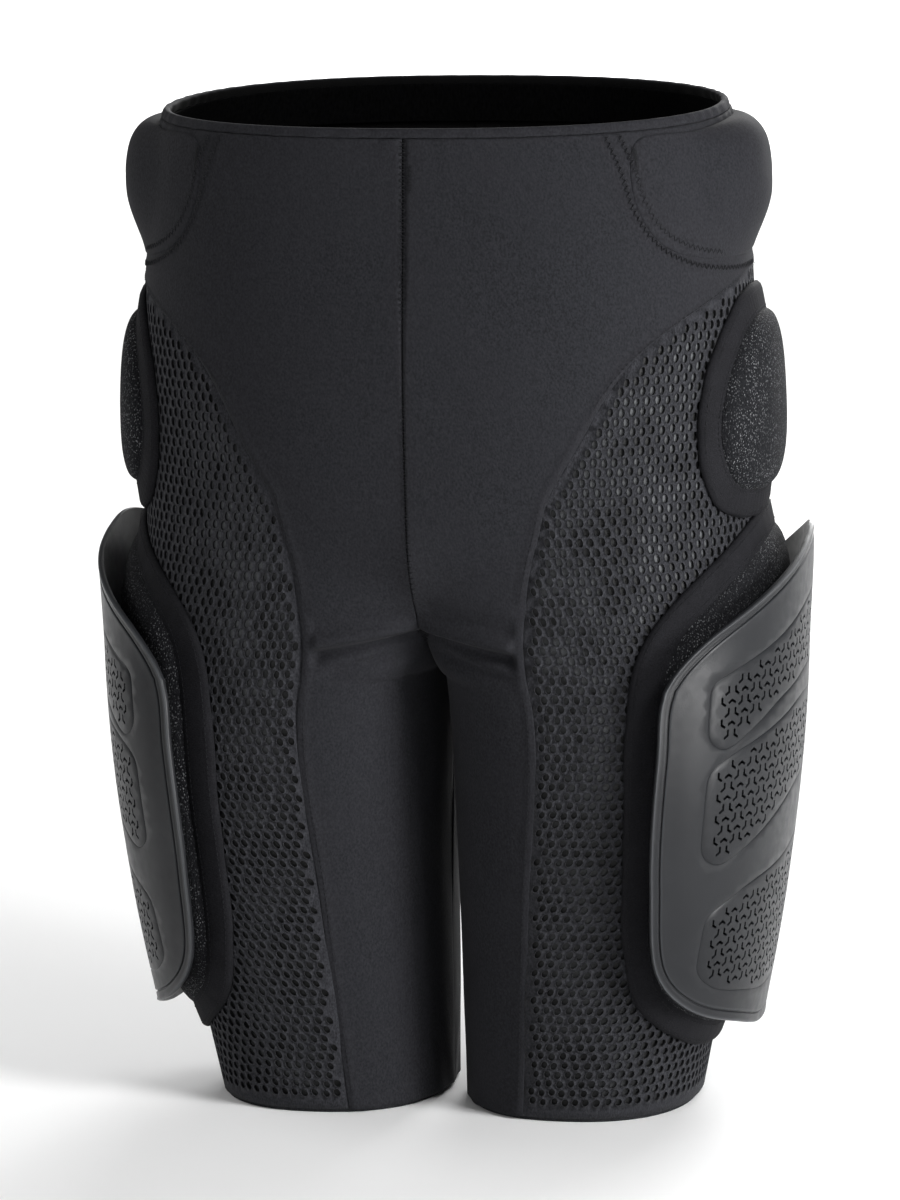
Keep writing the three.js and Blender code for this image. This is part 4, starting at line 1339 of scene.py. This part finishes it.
for word, side in SIDES.items():
    front = keep(front_panel(side, f"{word}_front_jersey"), "jersey", f"{word}_front_panel")
    back = keep(back_panel(side, f"{word}_back_jersey"), "jersey", f"{word}_back_panel")
    lining = keep(side_lining(side, f"{word}_lining_knit"), "lining", f"{word}_side_lining")
    mesh_panel = keep(mesh_panels[word], "mesh", f"{word}_side_mesh_panel")
    keep(leg_hem(side, f"{word}_hem_tape"), "gripper", f"{word}_leg_hem")
    keep(shells[word], "shell", f"{word}_thigh_shell")

    hip_bone = hip_bone_pad(f"{word}_hip_bone_pad", side)
    keep(hip_bone, "jersey", f"{word}_hip_bone_pad_foam", f"{word}_hip_bone_pad_pocket")
    hip = foam_pad(f"{word}_hip_pad", hip_outline, HIP_FOAM, side)
    keep(hip, "spacer_mesh", f"{word}_hip_pad_foam", f"{word}_hip_pad_cover")
    thigh = foam_pad(f"{word}_thigh_pad", thigh_outline, THIGH_FOAM, side, cap=0.0011)
    keep(thigh, "spacer_mesh", f"{word}_thigh_pad_foam", f"{word}_thigh_pad_cover")
    keep(binding(f"{word}_hip_pad_tape", hip_outline, side, widen=1.12), "binding",
         f"{word}_hip_pad_binding")
    keep(binding(f"{word}_thigh_pad_tape", thigh_outline, side), "binding",
         f"{word}_thigh_pad_binding")

    heights = np.linspace(HEM_BAND + 0.004, MESH_TOP - 0.003, 200)
    for edge, name, step in ((mesh_front, "front", -0.0008), (mesh_back, "back", 0.0008)):
        places = along_line(edge(heights) + step / GIRTH, heights, 0.0031)
        keep(stitches(f"{word}_{name}_seam_stitches", *places, 0.0011, side,
                      length=0.0019, radius=0.00024), "binding")
    for outline, name in ((hip_outline, "hip"), (thigh_outline, "thigh")):
        for row, distance, lift in (("outer", 0.0064, 0.0040), ("inner", -0.0030, 0.0057)):
            places = around_outline(outline, distance, 0.0030)
            keep(stitches(f"{word}_{name}_tape_{row}_stitches", *places, lift, side,
                          length=0.0020, radius=0.00026), "binding")
    for row, shift in (("inner", 0.0), ("outer", -0.0085)):
        line = beside(pocket_seam, shift)
        around, height = along_line(0.5 + line[:, 0] / GIRTH, line[:, 1], 0.0017)
        shown = height < waist_edge(around) - WAIST_EDGE - 0.001
        slant = zigzag(shown.sum(), 1.0, 2.14)
        keep(stitches(f"{word}_pocket_{row}_stitches", around[shown], height[shown], 0.0009, side,
                      length=0.0034, radius=0.00034, angle=slant), "jersey")

keep(waist_ring("waist_fold", 0.0006, -0.0034, 0.0, WAIST_EDGE + 0.0003, 0.6, JERSEY, 0.00025),
     "jersey", "waist_folded_edge")
elastic_end = WAIST_EDGE + ELASTIC_HEIGHT
keep(waist_ring("waist_elastic_tape", -0.0024, -0.0036, WAIST_EDGE + 0.0006, elastic_end,
                0.35, GRIPPER), "gripper", "waist_elastic")
keep(waist_ring("waist_facing_tape", -0.0040, -0.0050, WAIST_EDGE - 0.001, elastic_end + 0.001,
                0.35, FACING_TAPE), "lining", "waist_facing")
tailbone = foam_pad("tailbone_pad", tailbone_outline, TAILBONE_FOAM, LEFT)
keep(tailbone, "spacer_mesh", "tailbone_pad_foam", "tailbone_pad_cover")
keep(binding("tailbone_pad_tape", tailbone_outline, LEFT), "binding", "tailbone_pad_binding")

# Flat seams down the middle, front and back: slanted threads across the join.
for name, middle in (("centre_front", 0.0), ("centre_back", 1.0)):
    top = float(waist_edge(middle)) - WAIST_EDGE - 0.001
    heights = np.linspace(CROTCH_HEIGHT + 0.004, top, 200)
    around, height = along_line(np.full(200, middle), heights, 0.0017)
    slant = zigzag(len(around), 1.15, 1.99)
    keep(stitches(f"{name}_seam_stitches", around, height, 0.0005, LEFT,
                  length=0.0044, radius=0.00030, angle=slant), "jersey")

# Tapes over those seams on the inside.
for name, middle in (("front", 0.0), ("back", 1.0)):
    heights = np.linspace(CROTCH_HEIGHT + 0.003, float(waist_edge(middle)) - WAIST_EDGE, 90)
    across = middle + np.linspace(-0.009, 0.009, 7)[None]
    around, height = np.broadcast_arrays(across, heights[:, None])
    points, faces = two_sided(cloth(around, height, -CLOTH - 0.0002),
                              cloth(around, height, -CLOTH - 0.0008))
    tape = make_piece(f"{name}_seam_tape", points, faces, JERSEY)
    # Painted shade: the tape is coloured near-black.
    add_shade(tape, "inside", np.ones(len(points)))
    keep(tape, "jersey")

# Bar tacks: close rows of short threads.
BAR_TACKS = [(0.004, 0.508, 0.014), (0.250, 0.516, 0.012), (1.750, 0.516, 0.012)]
for i, (around, height, length) in enumerate(BAR_TACKS):
    rows = int(length / 0.0006)
    heights = height - length / 2 + length * np.arange(rows) / (rows - 1)
    keep(stitches(f"bar_tack_{i + 1}", np.full(rows, around), heights, 0.0008, LEFT,
                  length=0.0026, radius=0.00032, angle=math.pi / 2), "jersey")

# ---------- floor, light and camera ----------


def studio_floor():
    """A pale floor that curves up into a backdrop far behind."""
    far, radius, tall = 7.0, 2.0, 7.0
    turn = np.linspace(0, np.pi / 2, 24)
    y = np.concatenate([[-9.0, 0.0], far + radius * np.sin(turn), [far + radius]])
    z = np.concatenate([[0.0, 0.0], radius * (1 - np.cos(turn)), [tall]])
    x = np.array([-12.0, 12.0])
    points = np.stack(np.broadcast_arrays(x[None], y[:, None], z[:, None]), axis=-1)
    finish = Finish("pale studio floor", roughness=0.95, specular=0.1)
    mottle = finish.noise(0.6, 2.0)
    finish.colour(finish.colours(mottle, (0.90, 0.90, 0.90), (0.92, 0.92, 0.92)))
    return make_piece("studio_floor", points, [grid_faces(len(y), 2)], finish.material)


studio_floor()


def soft_light(name, azimuth, elevation, distance, size, watts, target=(0, 0, 0.28)):
    """A square soft light that looks at the target from a direction."""
    light = bpy.data.lights.new(name, "AREA")
    light.shape = "SQUARE"
    light.size = size
    light.energy = watts
    lamp = bpy.data.objects.new(name, light)
    a, e = math.radians(azimuth), math.radians(elevation)
    way = Vector((math.sin(a) * math.cos(e), -math.cos(a) * math.cos(e), math.sin(e)))
    lamp.location = Vector(target) + way * distance
    lamp.rotation_euler = way.to_track_quat("Z", "Y").to_euler()
    bpy.context.collection.objects.link(lamp)


soft_light("key light", 56, 34, 2.6, 0.8, 44)
soft_light("front fill", -15, 16, 3.2, 1.2, 15)
soft_light("left fill", -105, 25, 3.0, 1.4, 20)
soft_light("side strip", 68, 0, 1.6, 0.5, 25, target=(0.04, 0, 0.28))
soft_light("back light", 165, 35, 3.0, 1.6, 46)
soft_light("backdrop light", 180, 40, 4.2, 3.0, 420, target=(0, 4.5, 0))

world = bpy.data.worlds.new("studio")
world.use_nodes = True
world.node_tree.nodes["Background"].inputs["Color"].default_value = (1.0, 1.0, 1.0, 1)
world.node_tree.nodes["Background"].inputs["Strength"].default_value = 0.20
bpy.context.scene.world = world
bpy.context.scene.view_settings.view_transform = "Standard"

AZIMUTH, ELEVATION, DISTANCE = 13.0, 9.5, 3.2
ROLL = math.radians(1.0)
AIM = Vector((-0.0020, DEPTH_SHIFT, 0.2705))

camera_data = bpy.data.cameras.new("camera")
camera_data.sensor_width = 36
camera_data.lens = 177.8
camera_data.clip_start, camera_data.clip_end = 0.1, 60
camera = bpy.data.objects.new("camera", camera_data)
bpy.context.collection.objects.link(camera)
a, e = math.radians(AZIMUTH), math.radians(ELEVATION)
back_way = Vector((math.sin(a) * math.cos(e), -math.cos(a) * math.cos(e), math.sin(e)))
turned = back_way.to_track_quat("Z", "Y").to_matrix() @ Matrix.Rotation(-ROLL, 3, "Z")
camera.matrix_world = Matrix.Translation(AIM + back_way * DISTANCE) @ turned.to_4x4()
bpy.context.scene.camera = camera
